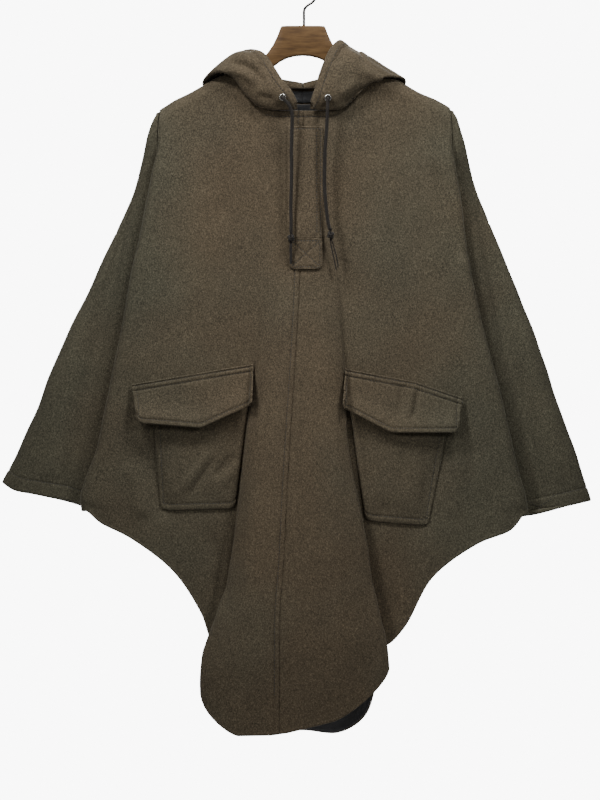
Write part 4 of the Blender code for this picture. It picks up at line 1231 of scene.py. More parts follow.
@dataclass
class Garment:
    """Fronts, back, sleeves and hood, and the black lining where it shows."""

    finishes: Finishes
    grid: float = CLOTH_GRID
    rows: int = 150
    skins: dict[str, Skin] = field(default_factory=dict)

    def front(self, side: Side) -> Skin:
        """From the centre seam to the turn inside the sleeve fold."""
        shares = row_shares(self.rows)
        other = Half(Side(-side.value), Face.FRONT).roll_rails(shares)[1:2]
        rails = other + Half(side, Face.FRONT).body_rails(shares)[:-1]
        return self.outward(rails, side)

    def outward(self, rails: list[Array], side: Side) -> Skin:
        """Loft rails that have one neighbour's rail at each end, facing out on either side."""
        counts = counts_for(rails, self.grid)
        grid, beyond = loft(rails, counts), (counts[0], counts[-1])
        if side is Side.RIGHT:
            grid, beyond = grid[::-1], beyond[::-1]
        return Skin.through(grid, beyond)

    def back(self) -> Skin:
        """The whole back, from one sleeve fold to the other."""
        shares = row_shares(self.rows)
        left, right = (Half(side, Face.BACK).body_rails(shares)[:-1] for side in Side)
        return self.outward(left[::-1] + right[1:], Side.LEFT)

    def sleeve(self, side: Side) -> Skin:
        """Front layer from inside the fold, round the outer edge, and back along the rear layer."""
        shares = row_shares(self.rows * 2 // 3, ease=1.1)
        front, edge = Half(side, Face.FRONT).sleeve_rails(shares)
        rear, _ = Half(side, Face.BACK).sleeve_rails(shares)
        return self.outward(front[1:] + [edge] + rear[:0:-1], side)

    def hood(self, side: Side, surface: Surface) -> Skin:
        """Sections read along smooth curves from the front of the neck round to the middle of the back."""
        table = np.array([[points(*place) for place in section] for section in HOOD_SECTIONS[side]])
        rails = []
        for column in range(table.shape[1]):
            rails.append(loft(table[:, column][:, None, :], (HOOD_STEPS,) * (len(table) - 1))[:, 0])
        grid = loft(rails, counts_for(rails, HOOD_GRID))
        grid = surface.cleared(grid, WOOL / 2 + HOOD_CLEARANCE)
        grid[:, -1, 0] = 0
        grid = np.concatenate([grid, grid[:, -2:-1] * (-1, 1, 1)], axis=1)
        return Skin.through(grid if side is Side.LEFT else grid[::-1], rows_beyond=1)

    def build(self) -> None:
        """Make every sheet of the garment with its stitching, and remember the skins others lie on."""
        sewing = Sewing("body_stitches", self.finishes.thread)
        self.build_back(sewing)
        for side in Side:
            self.build_front(side, sewing)
            self.build_sleeve(side, sewing)
        hood_sewing = Sewing("hood_stitches", self.finishes.thread)
        under = Surface([self.skins[name] for name in ("front_left", "front_right", "back")], WOOL / 2)
        for side in Side:
            self.build_hood(side, under, hood_sewing)
        self.build_linings()
        for threads in (sewing, hood_sewing):
            LOG.info("%s: %d points", threads.build().name, threads.count)

    def build_back(self, sewing: Sewing) -> None:
        """The two halves of the back, joined down the middle."""
        hem = Hem(Edge.HEM, HEM_EDGE, groove=0.0)
        whole = self.back()
        middle = int(np.argmin(np.abs(whole.grid[:, -1, 0])))
        self.skins["back"] = shaped(whole, BACK_CREASES, (hem,))
        parts = {"back_left": (slice(0, middle + 1), Edge.LAST),
                 "back_right": (slice(middle, None), Edge.FIRST)}
        for name, (columns, seam) in parts.items():
            skin = self.skins["back"].part(columns, slice(None))
            self.cloth(name, skin.drawn_back(SEAM_SHUT / 2, SEAM_SHUT / 2), WOOL, self.finishes.wool)
            sewing.along(*Hem(seam, SEAM_STITCH).line(skin, WOOL / 2))

    def build_front(self, side: Side, sewing: Sewing) -> None:
        """One front, with the centre seam's topstitching on the left one."""
        name = f"front_{side.name.lower()}"
        left = side is Side.LEFT
        hem = Hem(Edge.HEM, HEM_EDGE, groove=0.0)
        neck = Hem(Edge.TOP, NECK_STITCH, swell=0.5, groove=0.9, sink=0.6)
        seam = Hem(Edge.FIRST if left else Edge.LAST, SEAM_STITCH,
                   groove=1.3 * left, swell=0.8 * left, sink=1.4)
        hems = (hem, neck, seam)
        skin = shaped(eased(self.front(side)), FRONT_CREASES, hems)
        self.skins[name] = skin
        self.cloth(name, skin.drawn_back(SEAM_SHUT / 2, SEAM_SHUT / 2), WOOL, self.finishes.wool)
        path, facing = neck.line(skin, WOOL / 2)
        near = np.abs(path[:, 0]) < NECK_HALF
        sewing.along(path[near], facing[near])
        if left:
            path, facing = seam.line(skin, WOOL / 2)
            above = -path[:, 2] < BAR_TACK
            sewing.along(path[above], facing[above])

    def build_sleeve(self, side: Side, sewing: Sewing) -> None:
        """One sleeve, stitched round its cuff."""
        name = f"sleeve_{side.name.lower()}"
        cuff = Hem(Edge.HEM, CUFF_STITCH, groove=0.9, swell=0.4)
        skin = shaped(self.sleeve(side), SLEEVE_CREASES, (cuff,))
        self.skins[name] = skin
        self.cloth(name, skin.drawn_back(FOLD_SEAM_SHUT / 2, FOLD_SEAM_SHUT / 2), WOOL, self.finishes.wool)
        sewing.along(*cuff.line(skin, WOOL / 2))

    def build_hood(self, side: Side, under: Surface, sewing: Sewing) -> None:
        """One half of the hood, stitched along its face edge."""
        name = f"hood_{side.name.lower()}"
        face = Hem(Edge.LAST if side is Side.LEFT else Edge.FIRST, HOOD_STITCH, groove=1.2, swell=1.3)
        skin = face.refined(self.hood(side, under))
        across, down = skin.grid[..., 0], -skin.grid[..., 2]
        creased = sum(crease.rise(across, down) for crease in HOOD_CREASES)
        skin = raised(skin, face.rise(skin) + smooth_step(-skin.normal[..., 1] * 2) * creased)
        self.skins[name] = skin
        self.cloth(name, skin, WOOL, self.finishes.wool)
        sewing.along(*face.line(skin, WOOL / 2))

    def build_linings(self) -> None:
        """Black lining under the wool, in the neck, the hood, the cuffs and the back's hem."""
        for name, source, *shares in LININGS:
            skin = self.skins[source]
            ends = [[round(share * (count - 1)) for share in pair]
                    for pair, count in zip(shares, skin.grid.shape)]
            columns, rows = (slice(first, last + 1) for first, last in ends)
            under = skin.part(columns, rows, -(WOOL + LINING) / 2 - LINING_LIFT)
            self.cloth(name, under, LINING, self.finishes.lining)

    def cloth(self, name: str, skin: Skin, thickness: float, finish: Finish) -> None:
        """Make one sheet in place of its solid, and report it."""
        made = sheet_object(f"{name}_cloth", skin, thickness, finish)
        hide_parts(name)
        LOG.info("%s: %d by %d points", made.name, *skin.grid.shape[:2])


# ---------------------------------------------------------------- patches on the fronts

# in millimetres, but for the last two, which are shares of a patch's width
PATCH_LIFT = 0.9
PATCH_GRID = 1.5
BAG_CORNER = 12.0
BAG_STITCH = 8.5
FLAP_STITCH = 6.0
FLAP_TOP_STITCH = 10.0
FLAP_STANDS = {Side.LEFT: 13.0, Side.RIGHT: 10.0}
BOX_STITCH = 3.0
PUFF_FROM = 6.0
PUFF_OVER = 34.0
PRESS_REACH = 2.2
SWELL_OVER = 2.5
GROOVE_WIDTH = 1.7
CROSS_WIDTH = 1.5
SUNK_MOST = 0.8
STAND_REACH = 0.45
LONGEST_SHARE = 1.35


@dataclass(frozen=True)
class PatchShape:
    """A patch's outline: its top and bottom edges, each a table of share along, across and down."""

    top: Table
    bottom: Table

    @property
    def runs_across(self) -> bool:
        """Whether the top edge runs to the right, so that the sheet is turned round to face out."""
        first, last = self.top[0], self.top[-1]
        return abs(last[1] - first[1]) > abs(last[2] - first[2])

    def spread(self, columns: int, count: int) -> tuple[Array, Array]:
        """Across and down at an even grid of places on the patch."""
        share, fall = np.linspace(0, 1, columns), np.linspace(0, 1, count)[None, :]
        tables = (np.array(table, float) for table in (self.top, self.bottom))
        edges = [[np.interp(share, rows[:, 0], rows[:, k])[:, None] for k in (1, 2)] for rows in tables]
        return tuple(high + (low - high) * fall for high, low in zip(*edges))


def bag_shape(top_left: tuple, top_right: tuple, bottom_left: tuple, bottom_right: tuple) -> PatchShape:
    """A pocket bag with its lower corners rounded off."""
    left, right = np.array(bottom_left, float), np.array(bottom_right, float)
    corner = BAG_CORNER / np.linalg.norm(right - left)
    bottom = [(0.0, left[0], left[1] - BAG_CORNER * 0.7)]
    bottom.append((corner * 0.3, left[0] + BAG_CORNER * 0.22, left[1] - BAG_CORNER * 0.2))
    bottom += [(share, *(left + (right - left) * share)) for share in (corner, 1 - corner)]
    bottom.append((1 - corner * 0.3, right[0] - BAG_CORNER * 0.22, right[1] - BAG_CORNER * 0.2))
    bottom.append((1.0, right[0], right[1] - BAG_CORNER * 0.7))
    return PatchShape(((0.0, *top_left), (1.0, *top_right)), tuple(bottom))


def strip_shape(table: Table) -> PatchShape:
    """A strip from (down, left, right) rows, lying on its side: its left edge is the patch's top."""
    length = table[-1][0] - table[0][0]
    left = tuple(((row[0] - table[0][0]) / length, row[1], row[0]) for row in table)
    right = tuple(((row[0] - table[0][0]) / length, row[2], row[0]) for row in table)
    return PatchShape(left, right)


BAGS = {
    Side.LEFT: bag_shape((-226, 632), (-79, 611), (-213, 799), (-101, 796)),
    Side.RIGHT: bag_shape((66, 612), (222, 646), (93, 814), (188, 822)),
}
FLAPS = {
    Side.LEFT: PatchShape(((0, -256, 611), (0.5, -166, 596), (1, -75, 581)),
                          ((0, -248, 660), (0.025, -246, 665), (0.06, -239, 668), (0.30, -200, 671),
                           (0.55, -154, 675), (0.58, -148, 673), (0.96, -82, 643), (1, -76, 636))),
    Side.RIGHT: PatchShape(((0, 64, 588), (0.58, 166, 607), (1, 238, 631)),
                           ((0, 60, 640), (0.025, 62, 646), (0.06, 68, 649), (0.40, 128, 680),
                            (0.43, 137, 682),
                            (0.95, 225, 682), (0.98, 230, 680), (1, 232, 674))),
}
PLACKET = strip_shape(((224.5, -22.5, 28.5), (391.5, -22.5, 28.5)))
PLACKET_BOX = strip_shape(((392.5, -20, 28.5), (431, -20, 28.5), (435, -19, 27.5), (438, -15, 23)))
# creases across a bag or a flap, in the same measures as the garment's own
BAG_CREASES = (
    Crease(((-138, 706), (-162, 740), (-190, 778)), 3.0, 6, 9, 0.3, 0.3),
    Crease(((-126, 712), (-150, 748), (-176, 786)), -2.6, 6, 7, 0.3, 0.3),
    Crease(((-100, 712), (-120, 734), (-138, 756)), -2.2, 6, 8, 0.3, 0.3),
    Crease(((-92, 722), (-108, 744), (-124, 768)), 1.8, 6, 8, 0.3, 0.3),
    Crease(((110, 700), (118, 750), (126, 800)), 1.6, 10, 10, 0.3, 0.3),
    Crease(((176, 690), (186, 740), (182, 800)), -2.2, 7, 9, 0.3, 0.3),
    Crease(((146, 700), (150, 740), (148, 780)), -1.2, 9, 9, 0.3, 0.3),
)
FLAP_CREASES = (
    Crease(((166, 606), (162, 634), (155, 666)), 2.2, 3.5, 5, 0.25, 0.25),
    Crease(((174, 610), (169, 638), (162, 668)), -1.9, 4, 4, 0.25, 0.25),
    Crease(((148, 606), (145, 630), (142, 660)), -1.5, 4, 5, 0.25, 0.25),
    Crease(((190, 616), (188, 640), (184, 668)), 0.9, 7, 7, 0.25, 0.25),
    Crease(((-222, 622), (-218, 640), (-214, 656)), -0.7, 8, 8, 0.3, 0.3),
    Crease(((-118, 600), (-122, 620), (-128, 650)), 0.8, 9, 9, 0.3, 0.3),
)


@dataclass
class Patch:
    """A piece of wool laid on the fronts, with turned edges and topstitching."""

    name: str
    shape: PatchShape
    surface: Surface
    finishes: Finishes
    sewing: Sewing
    stitched: tuple[tuple[Edge, float], ...]
    creases: tuple[Crease, ...] = ()
    base: float = PATCH_LIFT + PATCH / 2
    puff: float = 0.0
    stand: float = 0.0
    swell: float = 0.6
    groove: float = 1.5
    press: float = 0.5
    crossed: bool = False
    sewn: tuple[Edge, ...] = (Edge.FIRST, Edge.LAST, Edge.TOP, Edge.HEM)
    loose: Edge = Edge.HEM

    def skin(self) -> Skin:
        """The patch's middle: lifted off the cloth, pressed at its edges and grooved by its stitching."""
        across, down = self.shape.spread(2, 2)
        length = np.hypot(across[1] - across[0], down[1] - down[0]).max()
        width = np.hypot(across[:, 1] - across[:, 0], down[:, 1] - down[:, 0]).max()
        extent = max(width, np.abs(np.diff(across, axis=0)).max(), np.abs(np.diff(down, axis=1)).max())
        columns, rows = round(length / PATCH_GRID) + 1, round(extent / PATCH_GRID) + 1
        rows = min(rows, round(width * LONGEST_SHARE / PATCH_GRID) + 1)
        across, down = self.shape.spread(columns, rows)
        plane = np.stack([across, 0 * across, down], axis=-1)
        lift = np.full(across.shape, self.base)
        nearest = np.full(across.shape, 1e9)
        for edge in self.sewn:
            nearest = np.minimum(nearest, to_sheet(distance_in(from_edge(plane, edge)), edge))
        lift += self.puff * smooth_step((nearest - PUFF_FROM) / PUFF_OVER)
        lift -= self.press * bell(nearest, PRESS_REACH)
        stitched = min(offset for _, offset in self.stitched)
        lift += self.swell * smooth_step((stitched - nearest) / SWELL_OVER)
        fall = to_sheet(distance_in(from_edge(plane, self.loose)), self.loose)
        stand = self.stand * bell(fall, STAND_REACH * width)
        for edge, offset in self.stitched:
            apart = to_sheet(distance_in(from_edge(plane, edge)), edge)
            lift -= self.groove * bell(apart - offset, GROOVE_WIDTH)
        if self.crossed:
            along, fall = np.linspace(0, 1, columns)[:, None], np.linspace(0, 1, rows)[None, :]
            reach = length * width / math.hypot(length, width)
            for apart in (along - fall, along + fall - 1):
                lift -= self.groove * bell(apart * reach, CROSS_WIDTH)
        for crease in self.creases:
            lift += crease.rise(across, down)
        lift = np.maximum(lift, PATCH_LIFT + PATCH / 2 - SUNK_MOST)
        grid = self.surface.lifted(across, down, lift, stand)
        grid = grid[::-1] if self.shape.runs_across else grid
        return Skin(grid, facings_of(grid))

    def build(self) -> Skin:
        """Make the patch in place of its solid, and sew its edges."""
        skin = self.skin()
        made = sheet_object(f"{self.name}_cloth", skin, PATCH, self.finishes.wool)
        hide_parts(self.name)
        swapped = {Edge.FIRST: Edge.LAST, Edge.LAST: Edge.FIRST} if self.shape.runs_across else {}
        for edge, offset in self.stitched:
            self.stitch(skin, swapped.get(edge, edge), offset)
        LOG.info("%s: %d by %d points", made.name, *skin.grid.shape[:2])
        return skin

    def stitch(self, skin: Skin, edge: Edge, offset: float) -> None:
        """One row of stitches beside an edge, stopping short of the corners."""
        path, facing = Hem(edge, offset).line(skin, PATCH / 2)
        ends = np.linalg.norm(path - path[0], axis=1), np.linalg.norm(path - path[-1], axis=1)
        inner = (ends[0] > offset * 0.8) & (ends[1] > offset * 0.8)
        self.sewing.along(path[inner], facing[inner])


@dataclass
class Pockets:
    """Two patch pockets under shaped flaps."""

    surface: Surface
    finishes: Finishes

    def build(self) -> None:
        """Make both pockets and their stitching."""
        sewing = Sewing("pocket_stitches", self.finishes.thread)
        for side in Side:
            name = side.name.lower()
            outer = Edge.FIRST if side is Side.LEFT else Edge.LAST
            round_bag = ((outer, BAG_STITCH), (Edge.HEM, BAG_STITCH))
            bag = Patch(f"pocket_{name}", BAGS[side], self.surface, self.finishes, sewing, round_bag,
                        creases=BAG_CREASES, puff=1.6, swell=0.2, groove=1.0, press=0.8,
                        sewn=(Edge.FIRST, Edge.LAST, Edge.HEM))
            bag.build()
            round_flap = ((Edge.TOP, FLAP_TOP_STITCH), (Edge.TOP, 2.5), (Edge.FIRST, FLAP_STITCH),
                          (Edge.LAST, FLAP_STITCH), (Edge.HEM, FLAP_STITCH))
            flap = Patch(f"flap_{name}", FLAPS[side], self.surface, self.finishes, sewing, round_flap,
                         creases=FLAP_CREASES, base=2 * PATCH_LIFT + 1.5 * PATCH + 0.3, puff=0.8,
                         stand=FLAP_STANDS[side])
            flap.build()
        LOG.info("%s: %d points", sewing.build().name, sewing.count)


@dataclass
class HalfPlacket:
    """The stitched placket at the neck, and the crossed box below it."""

    surface: Surface
    finishes: Finishes

    def build(self) -> None:
        """Make both pieces and their stitching."""
        sewing = Sewing("placket_stitches", self.finishes.thread)
        strip = ((Edge.HEM, 2.2), (Edge.HEM, 8.0), (Edge.TOP, 3.0), (Edge.FIRST, 3.0))
        Patch("placket", PLACKET, self.surface, self.finishes, sewing, strip).build()
        box = tuple((edge, BOX_STITCH) for edge in (Edge.HEM, Edge.TOP, Edge.FIRST, Edge.LAST))
        skin = Patch("placket_box", PLACKET_BOX, self.surface, self.finishes, sewing, box, puff=0.9,
                     crossed=True).build()
        columns, rows = (count - 1 for count in skin.grid.shape[:2])
        share = np.linspace(0.1, 0.9, 30)
        for fall in (share, 1 - share):
            place = (np.round(share * columns).astype(int), np.round(fall * rows).astype(int))
            sewing.along(skin.face(PATCH / 2)[place], skin.normal[place])
        LOG.info("%s: %d points", sewing.build().name, sewing.count)


# ---------------------------------------------------------------- drawcord

EYELETS = {Side.LEFT: (-30.6, 181.0), Side.RIGHT: (37.2, 182.0)}
EYELET_INNER = 3.1
EYELET_OUTER = 5.4
EYELET_SIDES = 48
EYELET_LIFT = 0.7
# the rolled ring's section: out from the hole's middle, up from the cloth
EYELET_PROFILE = ((EYELET_OUTER, 0.0), (EYELET_OUTER - 0.1, 0.6), (EYELET_OUTER - 0.5, 1.15), (4.5, 1.4),
                  (4.0, 1.35), (3.5, 1.0), (EYELET_INNER, 0.3), (EYELET_INNER, -0.4), (3.6, -0.5))
# where a cord leaves its eyelet: up from the ring, and aside towards its first place
CORD_START = ((1.6, 0.0), (4.4, 2.0), (5.3, 6.0))
CORD_WIDTH = 5.0
CORD_STEP = 1.6
# across, down, forward along each cord after it comes out of its eyelet
CORD_PATHS = {
    Side.LEFT: ((-21, 193, 56), (-16.5, 206, 55.5), (-16.3, 222, 54.9), (-16.7, 240, 54.5),
                (-17.4, 262, 54.2), (-17, 280, 54), (-17.3, 312, 53.4), (-18.2, 344, 53),
                (-17.8, 365, 53.4), (-18, 383, 54)),
    Side.RIGHT: ((36.5, 198, 55.5), (36, 213, 54.5), (35.2, 231, 53.6), (33.6, 250, 53), (32.8, 266, 52.7),
                 (32.6, 282, 52.5), (32.2, 303, 52.2), (32.6, 322, 52), (34.4, 344, 52.4), (36.9, 365, 53),
                 (40.0, 379, 54)),
}
KNOTS = {Side.LEFT: (-18, 391.5, 55.5), Side.RIGHT: (41.4, 387, 55)}
# the loop, its turn and its crossing, as (aside, along, forward) of the knot's middle
KNOT_PATH = ((0.0, 9.5, -0.5), (-0.8, 5.2, -1.6), (-2.9, 1.6, 1.4), (-0.6, -1.0, 4.0), (3.2, 0.6, 1.6),
             (2.6, 2.2, -2.6), (-1.6, 0.4, -3.4), (-3.6, -2.6, -0.2), (-0.4, -3.2, 3.4), (2.4, -3.6, 0.4),
             (0.9, -5.6, -1.0), (0.0, -9.0, -0.6))
KNOT_WIDTH = 3.9
TAIL_PATHS = {
    "tail_left": (4.0, ((-18, 401, 54.6), (-18.4, 409, 54), (-18, 418, 53.6), (-18.1, 430, 53.5))),
    "tail_right": (1.8, ((41, 396.5, 54.6), (42.3, 404, 53.2), (44, 412, 52), (47.3, 427, 51),
                         (49.5, 439, 51))),
    "tail_right_2": (1.8, ((43.6, 396.5, 54), (45.3, 403, 53), (47.6, 411, 52), (51, 424, 51),
                           (52.5, 436, 51))),
}
KNOT_TAILS = {Side.LEFT: ("tail_left",), Side.RIGHT: ("tail_right", "tail_right_2")}


@dataclass
class Drawcord:
    """Plated eyelets in the hood's front edge, and the cord's two free ends with their knots."""

    hoods: dict[Side, Surface]
    finishes: Finishes

    def build(self) -> None:
        """Make both sides."""
        for side in Side:
            middle, facing = self.eyelet(side)
            self.cord(side, middle, facing)

    def eyelet(self, side: Side) -> tuple[Array, Array]:
        """A rolled metal ring with a turned-in throat.

        Args:
            side: which side of the hood.

        Returns:
            The middle of the hole on the cloth's face, and the way that it faces.
        """
        hit, normal = self.hoods[side].at(*EYELETS[side])
        along = unit(np.cross(normal, (1.0, 0.0, 0.0)))
        aside = np.cross(along, normal)
        middle = hit + normal * EYELET_LIFT
        turn = np.linspace(0, 2 * math.pi, EYELET_SIDES, endpoint=False)[:, None, None]
        out, up = (np.array(values)[None, :, None] for values in zip(*EYELET_PROFILE))
        rings = middle + out * (np.cos(turn) * aside + np.sin(turn) * along) + up * normal
        at = np.arange(EYELET_SIDES * len(EYELET_PROFILE)).reshape(EYELET_SIDES, -1)
        ahead = np.roll(at, -1, axis=0)
        faces = np.stack([at, ahead, np.roll(ahead, -1, axis=1), np.roll(at, -1, axis=1)], axis=-1)
        name = f"eyelet_{side.name.lower()}"
        faces = faces.reshape(-1, 4).tolist()
        made = new_mesh(f"{name}_ring", rings.reshape(-1, 3), faces, self.finishes.metal)
        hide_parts(name)
        return middle, normal

    def cord(self, side: Side, middle: Array, facing: Array) -> None:
        """The free length of cord, its knot and what hangs below it."""
        name = side.name.lower()
        route = points(*np.array(CORD_PATHS[side], float).T)
        out = unit(route[0] - middle - facing * ((route[0] - middle) @ facing))
        start = [middle + facing * raised_by + out * moved for raised_by, moved in CORD_START]
        path = smooth_path(np.concatenate([start, route]), CORD_STEP)
        made = self.tube(f"drawcord_{name}", path, CORD_WIDTH)
        knot = self.knot(side)
        tails = [self.tube(tail, smooth_path(points(*np.array(TAIL_PATHS[tail][1], float).T), CORD_STEP),
                           TAIL_PATHS[tail][0]) for tail in KNOT_TAILS[side]]

    def tube(self, name: str, path: Array, width: float) -> bpy.types.Object:
        """A round plaited length in place of its solid."""
        made = tube_object(f"{name}_line", path, width / 2, self.finishes.cord, sides=18)
        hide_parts(name)
        return made

    def knot(self, side: Side) -> bpy.types.Object:
        """A pulled-tight overhand knot."""
        middle = points(*KNOTS[side])
        turned = np.array(KNOT_PATH) * (side.value, 1.0, 1.0)
        path = middle + np.stack([turned[:, 0], -turned[:, 2], turned[:, 1]], axis=-1)
        name = f"knot_{side.name.lower()}"
        path = smooth_path(path, 0.8)
        made = tube_object(f"{name}_loops", path, KNOT_WIDTH / 2, self.finishes.cord, sides=16)
        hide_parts(name)
        return made


# ---------------------------------------------------------------- hanger

HOOK_WIRE = 4.0
HOOK_RADIUS = 19.0
HOOK_ARC = (-52, 205)
HOOK_STEPS = 72
HOOK_STEM = ((1.5, 0, -69.6), (1.5, 0, -58), (1.5, 0, -49), (2.6, 0, -44), (7.0, 0, -39.2))
# across, down at the top, down at the underside, half thickness
HANGER = ((0, 70, 115, 7), (12, 70, 116, 7), (24, 70, 119, 7), (32, 70.5, 123, 7), (34, 73, 124, 7),
          (38, 84, 127, 7), (45, 98.5, 132, 7), (52, 109, 138, 7), (60, 119, 143, 6.5), (72, 142, 157, 5.5),
          (86, 153, 168, 5.5), (110, 152, 173, 6.5), (150, 167, 190, 7), (176, 185, 204, 7),
          (186, 195, 207, 6), (190, 200, 207, 5))
SECTION_STEP = 3.0
CORNER_STEPS = 5


@dataclass
class Hanger:
    """A shaped wooden hanger with eased edges, and its wire hook."""

    finishes: Finishes
    edge_round: float = 2.6

    def build(self) -> None:
        """Make the board and the hook."""
        self.board()
        self.hook()

    def board(self) -> None:
        """Sections across the shoulders, each a rectangle with rounded corners."""
        half = np.array(HANGER, float)
        rows = np.concatenate([half[:0:-1] * (-1, 1, 1, 1), half])
        fine = []
        for before, after in zip(rows[:-1], rows[1:]):
            count = max(1, math.ceil((after[0] - before[0]) / SECTION_STEP))
            fine += [before + (after - before) * k / count for k in range(count)]
        rows = np.array(fine + [rows[-1]])
        vertices = []
        for across, top, under, thick in rows:
            middle, reach = (top + under) / 2, (under - top) / 2
            eased = min(self.edge_round, reach * 0.8, thick * 0.8)
            for quarter, (out, up) in enumerate(((1, 1), (1, -1), (-1, -1), (-1, 1))):
                for turn in np.linspace(0, math.pi / 2, CORNER_STEPS):
                    turned = (math.sin(turn), math.cos(turn))
                    first, second = turned if quarter % 2 == 0 else turned[::-1]
                    forward = out * (thick - eased + eased * first)
                    vertices.append((across, -forward, -middle + up * (reach - eased + eased * second)))
        at = np.arange(len(vertices)).reshape(len(rows), -1)
        faces = band(at[:-1], at[1:]).reshape(-1, 4).tolist() + [at[0, ::-1].tolist(), at[-1].tolist()]
        made = new_mesh("hanger_board", np.array(vertices), faces, self.finishes.wood)
        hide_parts("hanger")

    def hook(self) -> None:
        """A wire hook whose inside top is the origin, with a short straight stem where it enters the wood."""
        turn = np.radians(np.linspace(*HOOK_ARC, HOOK_STEPS))
        radius = HOOK_RADIUS + HOOK_WIRE / 2
        arc = np.stack([radius * np.cos(turn), 0 * turn, radius * np.sin(turn) - HOOK_RADIUS], axis=-1)
        path = np.concatenate([smooth_path(HOOK_STEM, 1.5), arc])
        made = tube_object("hanger_wire", path, HOOK_WIRE / 2, self.finishes.wire, sides=20)
        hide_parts("hanger_hook")


# ---------------------------------------------------------------- stage

@dataclass
class Studio:
    """A pale floor, soft light from all round and the photograph's camera."""

    aim: tuple[float, float, float] = (-0.0045, 0.0, -0.634)
    distance: float = 6.0
    cloth_plane: float = 0.03
    view_height: float = 1.2
    floor_down: float = 1.62
    floor_size: float = 4.0
    seen_white: float = 9.0
    surround: float = 0.10

    def build(self) -> None:
        """Set up the floor, the lights, the world and the camera."""
        self.floor()
        self.lamp("key left", (-0.9, -1.0, 1.35), 0.45, 7.5, (0.35, 0.0, -0.55), 62.0)
        self.lamp("key right", (0.9, -1.0, 1.35), 0.45, 6.0, (-0.35, 0.0, -0.55), 62.0)
        self.lamp("cross left", (-1.5, -1.9, 0.2), 0.5, 1.7, (0.5, 0.0, -0.62), 48.0)
        self.lamp("cross right", (1.5, -1.9, 0.2), 0.5, 1.5, (-0.5, 0.0, -0.62), 48.0)
        self.lamp("left", (-3.0, 0.6, -0.4), 1.6, 9.0)
        self.lamp("right", (3.0, 0.6, -0.4), 1.6, 9.0)
        self.lamp("rear", (0.4, 3.0, 0.5), 2.4, 170.0)
        self.world()
        self.camera()

    def floor(self) -> None:
        """A plain pale floor well below the hem."""
        half, level = self.floor_size / 2, -self.floor_down
        mesh = bpy.data.meshes.new("floor")
        corners = [(-half, -half, level), (half, -half, level), (half, half, level), (-half, half, level)]
        mesh.from_pydata(corners, [], [(0, 1, 2, 3)])
        shader = Shader("floor")
        mesh.materials.append(shader.finish(Base_Color=(0.85, 0.85, 0.85, 1.0), Roughness=0.9).material)
        new_object("floor", mesh)

    def lamp(self, name: str, where: tuple[float, float, float], size: float, power: float,
             aim: tuple[float, float, float] | None = None, spread: float = 180.0) -> None:
        """A square soft lamp that faces the middle of the coat, or another place.

        Args:
            name: what the lamp is called.
            where: its middle.
            size: the length of its side.
            power: its strength in watts.
            aim: the place that it faces.
            spread: how wide it shines, in degrees.
        """
        light = bpy.data.lights.new(name, "AREA")
        light.size = size
        light.energy = power
        light.spread = math.radians(spread)
        made = new_object(name, light)
        made.location = where
        made.rotation_euler = (Vector(aim or self.aim) - Vector(where)).to_track_quat("-Z", "Y").to_euler()

    def world(self) -> None:
        """Even surroundings, white where they are seen and dimmer as light."""
        world = bpy.data.worlds.new("studio")
        world.use_nodes = True
        nodes, links = world.node_tree.nodes, world.node_tree.links
        background = nodes["Background"]
        background.inputs["Color"].default_value = (1.0, 1.0, 1.0, 1.0)
        seen = nodes.new("ShaderNodeMapRange")
        seen.inputs["To Min"].default_value = self.surround
        seen.inputs["To Max"].default_value = self.seen_white
        links.new(nodes.new("ShaderNodeLightPath").outputs["Is Camera Ray"], seen.inputs["Value"])
        links.new(seen.outputs["Result"], background.inputs["Strength"])
        bpy.context.scene.world = world

    def camera(self) -> None:
        """A level camera far in front, framing 900 by 1200 mm of the cloth."""
        lens = bpy.data.cameras.new("camera")
        lens.sensor_fit = "VERTICAL"
        lens.sensor_height = 36.0
        lens.lens = lens.sensor_height * (self.distance - self.cloth_plane) / self.view_height
        lens.clip_end = 100.0
        made = new_object("camera", lens)
        made.location = (self.aim[0], -self.distance, self.aim[2])
        made.rotation_euler = (math.radians(90), 0.0, 0.0)
        bpy.context.scene.camera = made


# ---------------------------------------------------------------- what the cloth was cut to

class Held(Enum):
    """How a sheet of cloth is held."""

    HUNG = "hung"
    LAID = "laid"


@dataclass(frozen=True)
class Cut:
    """The flat cloth of one sheet: its width, length and area in metres, and what it lies on."""

    width: float
    length: float
    area: float
    rests_on: tuple[str, ...]
    held: Held = Held.HUNG
    threads: str = ""

    def declare(self, name: str) -> None:
        """Does nothing: the cut is not declared for any node."""


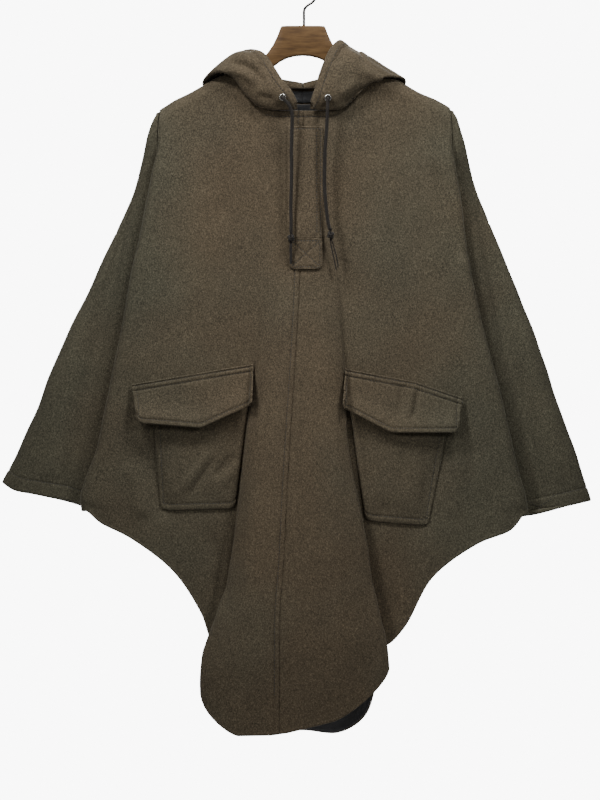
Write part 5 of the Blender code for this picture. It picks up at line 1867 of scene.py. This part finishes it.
CUTS = {
    "front_left": Cut(0.37, 1.02, 0.250, ("hanger",), threads="body_stitches"),
    "front_right": Cut(0.41, 1.02, 0.278, ("hanger",)),
    "back_left": Cut(0.36, 1.03, 0.245, ("hanger",)),
    "back_right": Cut(0.36, 1.03, 0.248, ("hanger",)),
    "sleeve_left": Cut(0.36, 0.64, 0.124, ("front_left", "back_left")),
    "sleeve_right": Cut(0.36, 0.64, 0.122, ("front_right", "back_right")),
    "hood_left": Cut(0.36, 0.30, 0.088, ("front_left", "back_left"), threads="hood_stitches"),
    "hood_right": Cut(0.36, 0.30, 0.092, ("front_right", "back_right")),
    "pocket_left": Cut(0.147, 0.190, 0.0215, ("front_left",), Held.LAID, "pocket_stitches"),
    "pocket_right": Cut(0.156, 0.210, 0.0230, ("front_right",), Held.LAID),
    "flap_left": Cut(0.185, 0.092, 0.0130, ("pocket_left", "front_left")),
    "flap_right": Cut(0.185, 0.092, 0.0128, ("pocket_right", "front_right")),
    "placket": Cut(0.053, 0.168, 0.0088, ("front_left", "front_right"), Held.LAID, "placket_stitches"),
    "placket_box": Cut(0.050, 0.047, 0.0023, ("front_left", "front_right"), Held.LAID),
    "back_lining": Cut(0.172, 0.137, 0.0215, ("back_left", "back_right"), Held.LAID),
    "cuff_lining_left": Cut(0.168, 0.160, 0.0166, ("sleeve_left",), Held.LAID),
    "cuff_lining_right": Cut(0.148, 0.150, 0.0146, ("sleeve_right",), Held.LAID),
    "hood_lining_left": Cut(0.018, 0.095, 0.0013, ("hood_left",), Held.LAID),
    "hood_lining_right": Cut(0.018, 0.095, 0.0013, ("hood_right",), Held.LAID),
    "neck_facing": Cut(0.101, 0.027, 0.0026, ("back_left", "back_right"), Held.LAID),
}


def main() -> None:
    """Build the studio and every sub-assembly."""
    logging.basicConfig(level=logging.INFO, format="%(name)s: %(message)s")
    finishes = Finishes.made()
    Studio().build()
    garment = Garment(finishes)
    garment.build()
    fronts = Surface([garment.skins["front_left"], garment.skins["front_right"]], WOOL / 2)
    Pockets(fronts, finishes).build()
    HalfPlacket(fronts, finishes).build()
    hoods = {side: Surface([garment.skins[f"hood_{side.name.lower()}"]], WOOL / 2) for side in Side}
    Drawcord(hoods, finishes).build()
    Hanger(finishes).build()
    for name, cut in CUTS.items():
        cut.declare(name)


if __name__ == "__main__":
    main()
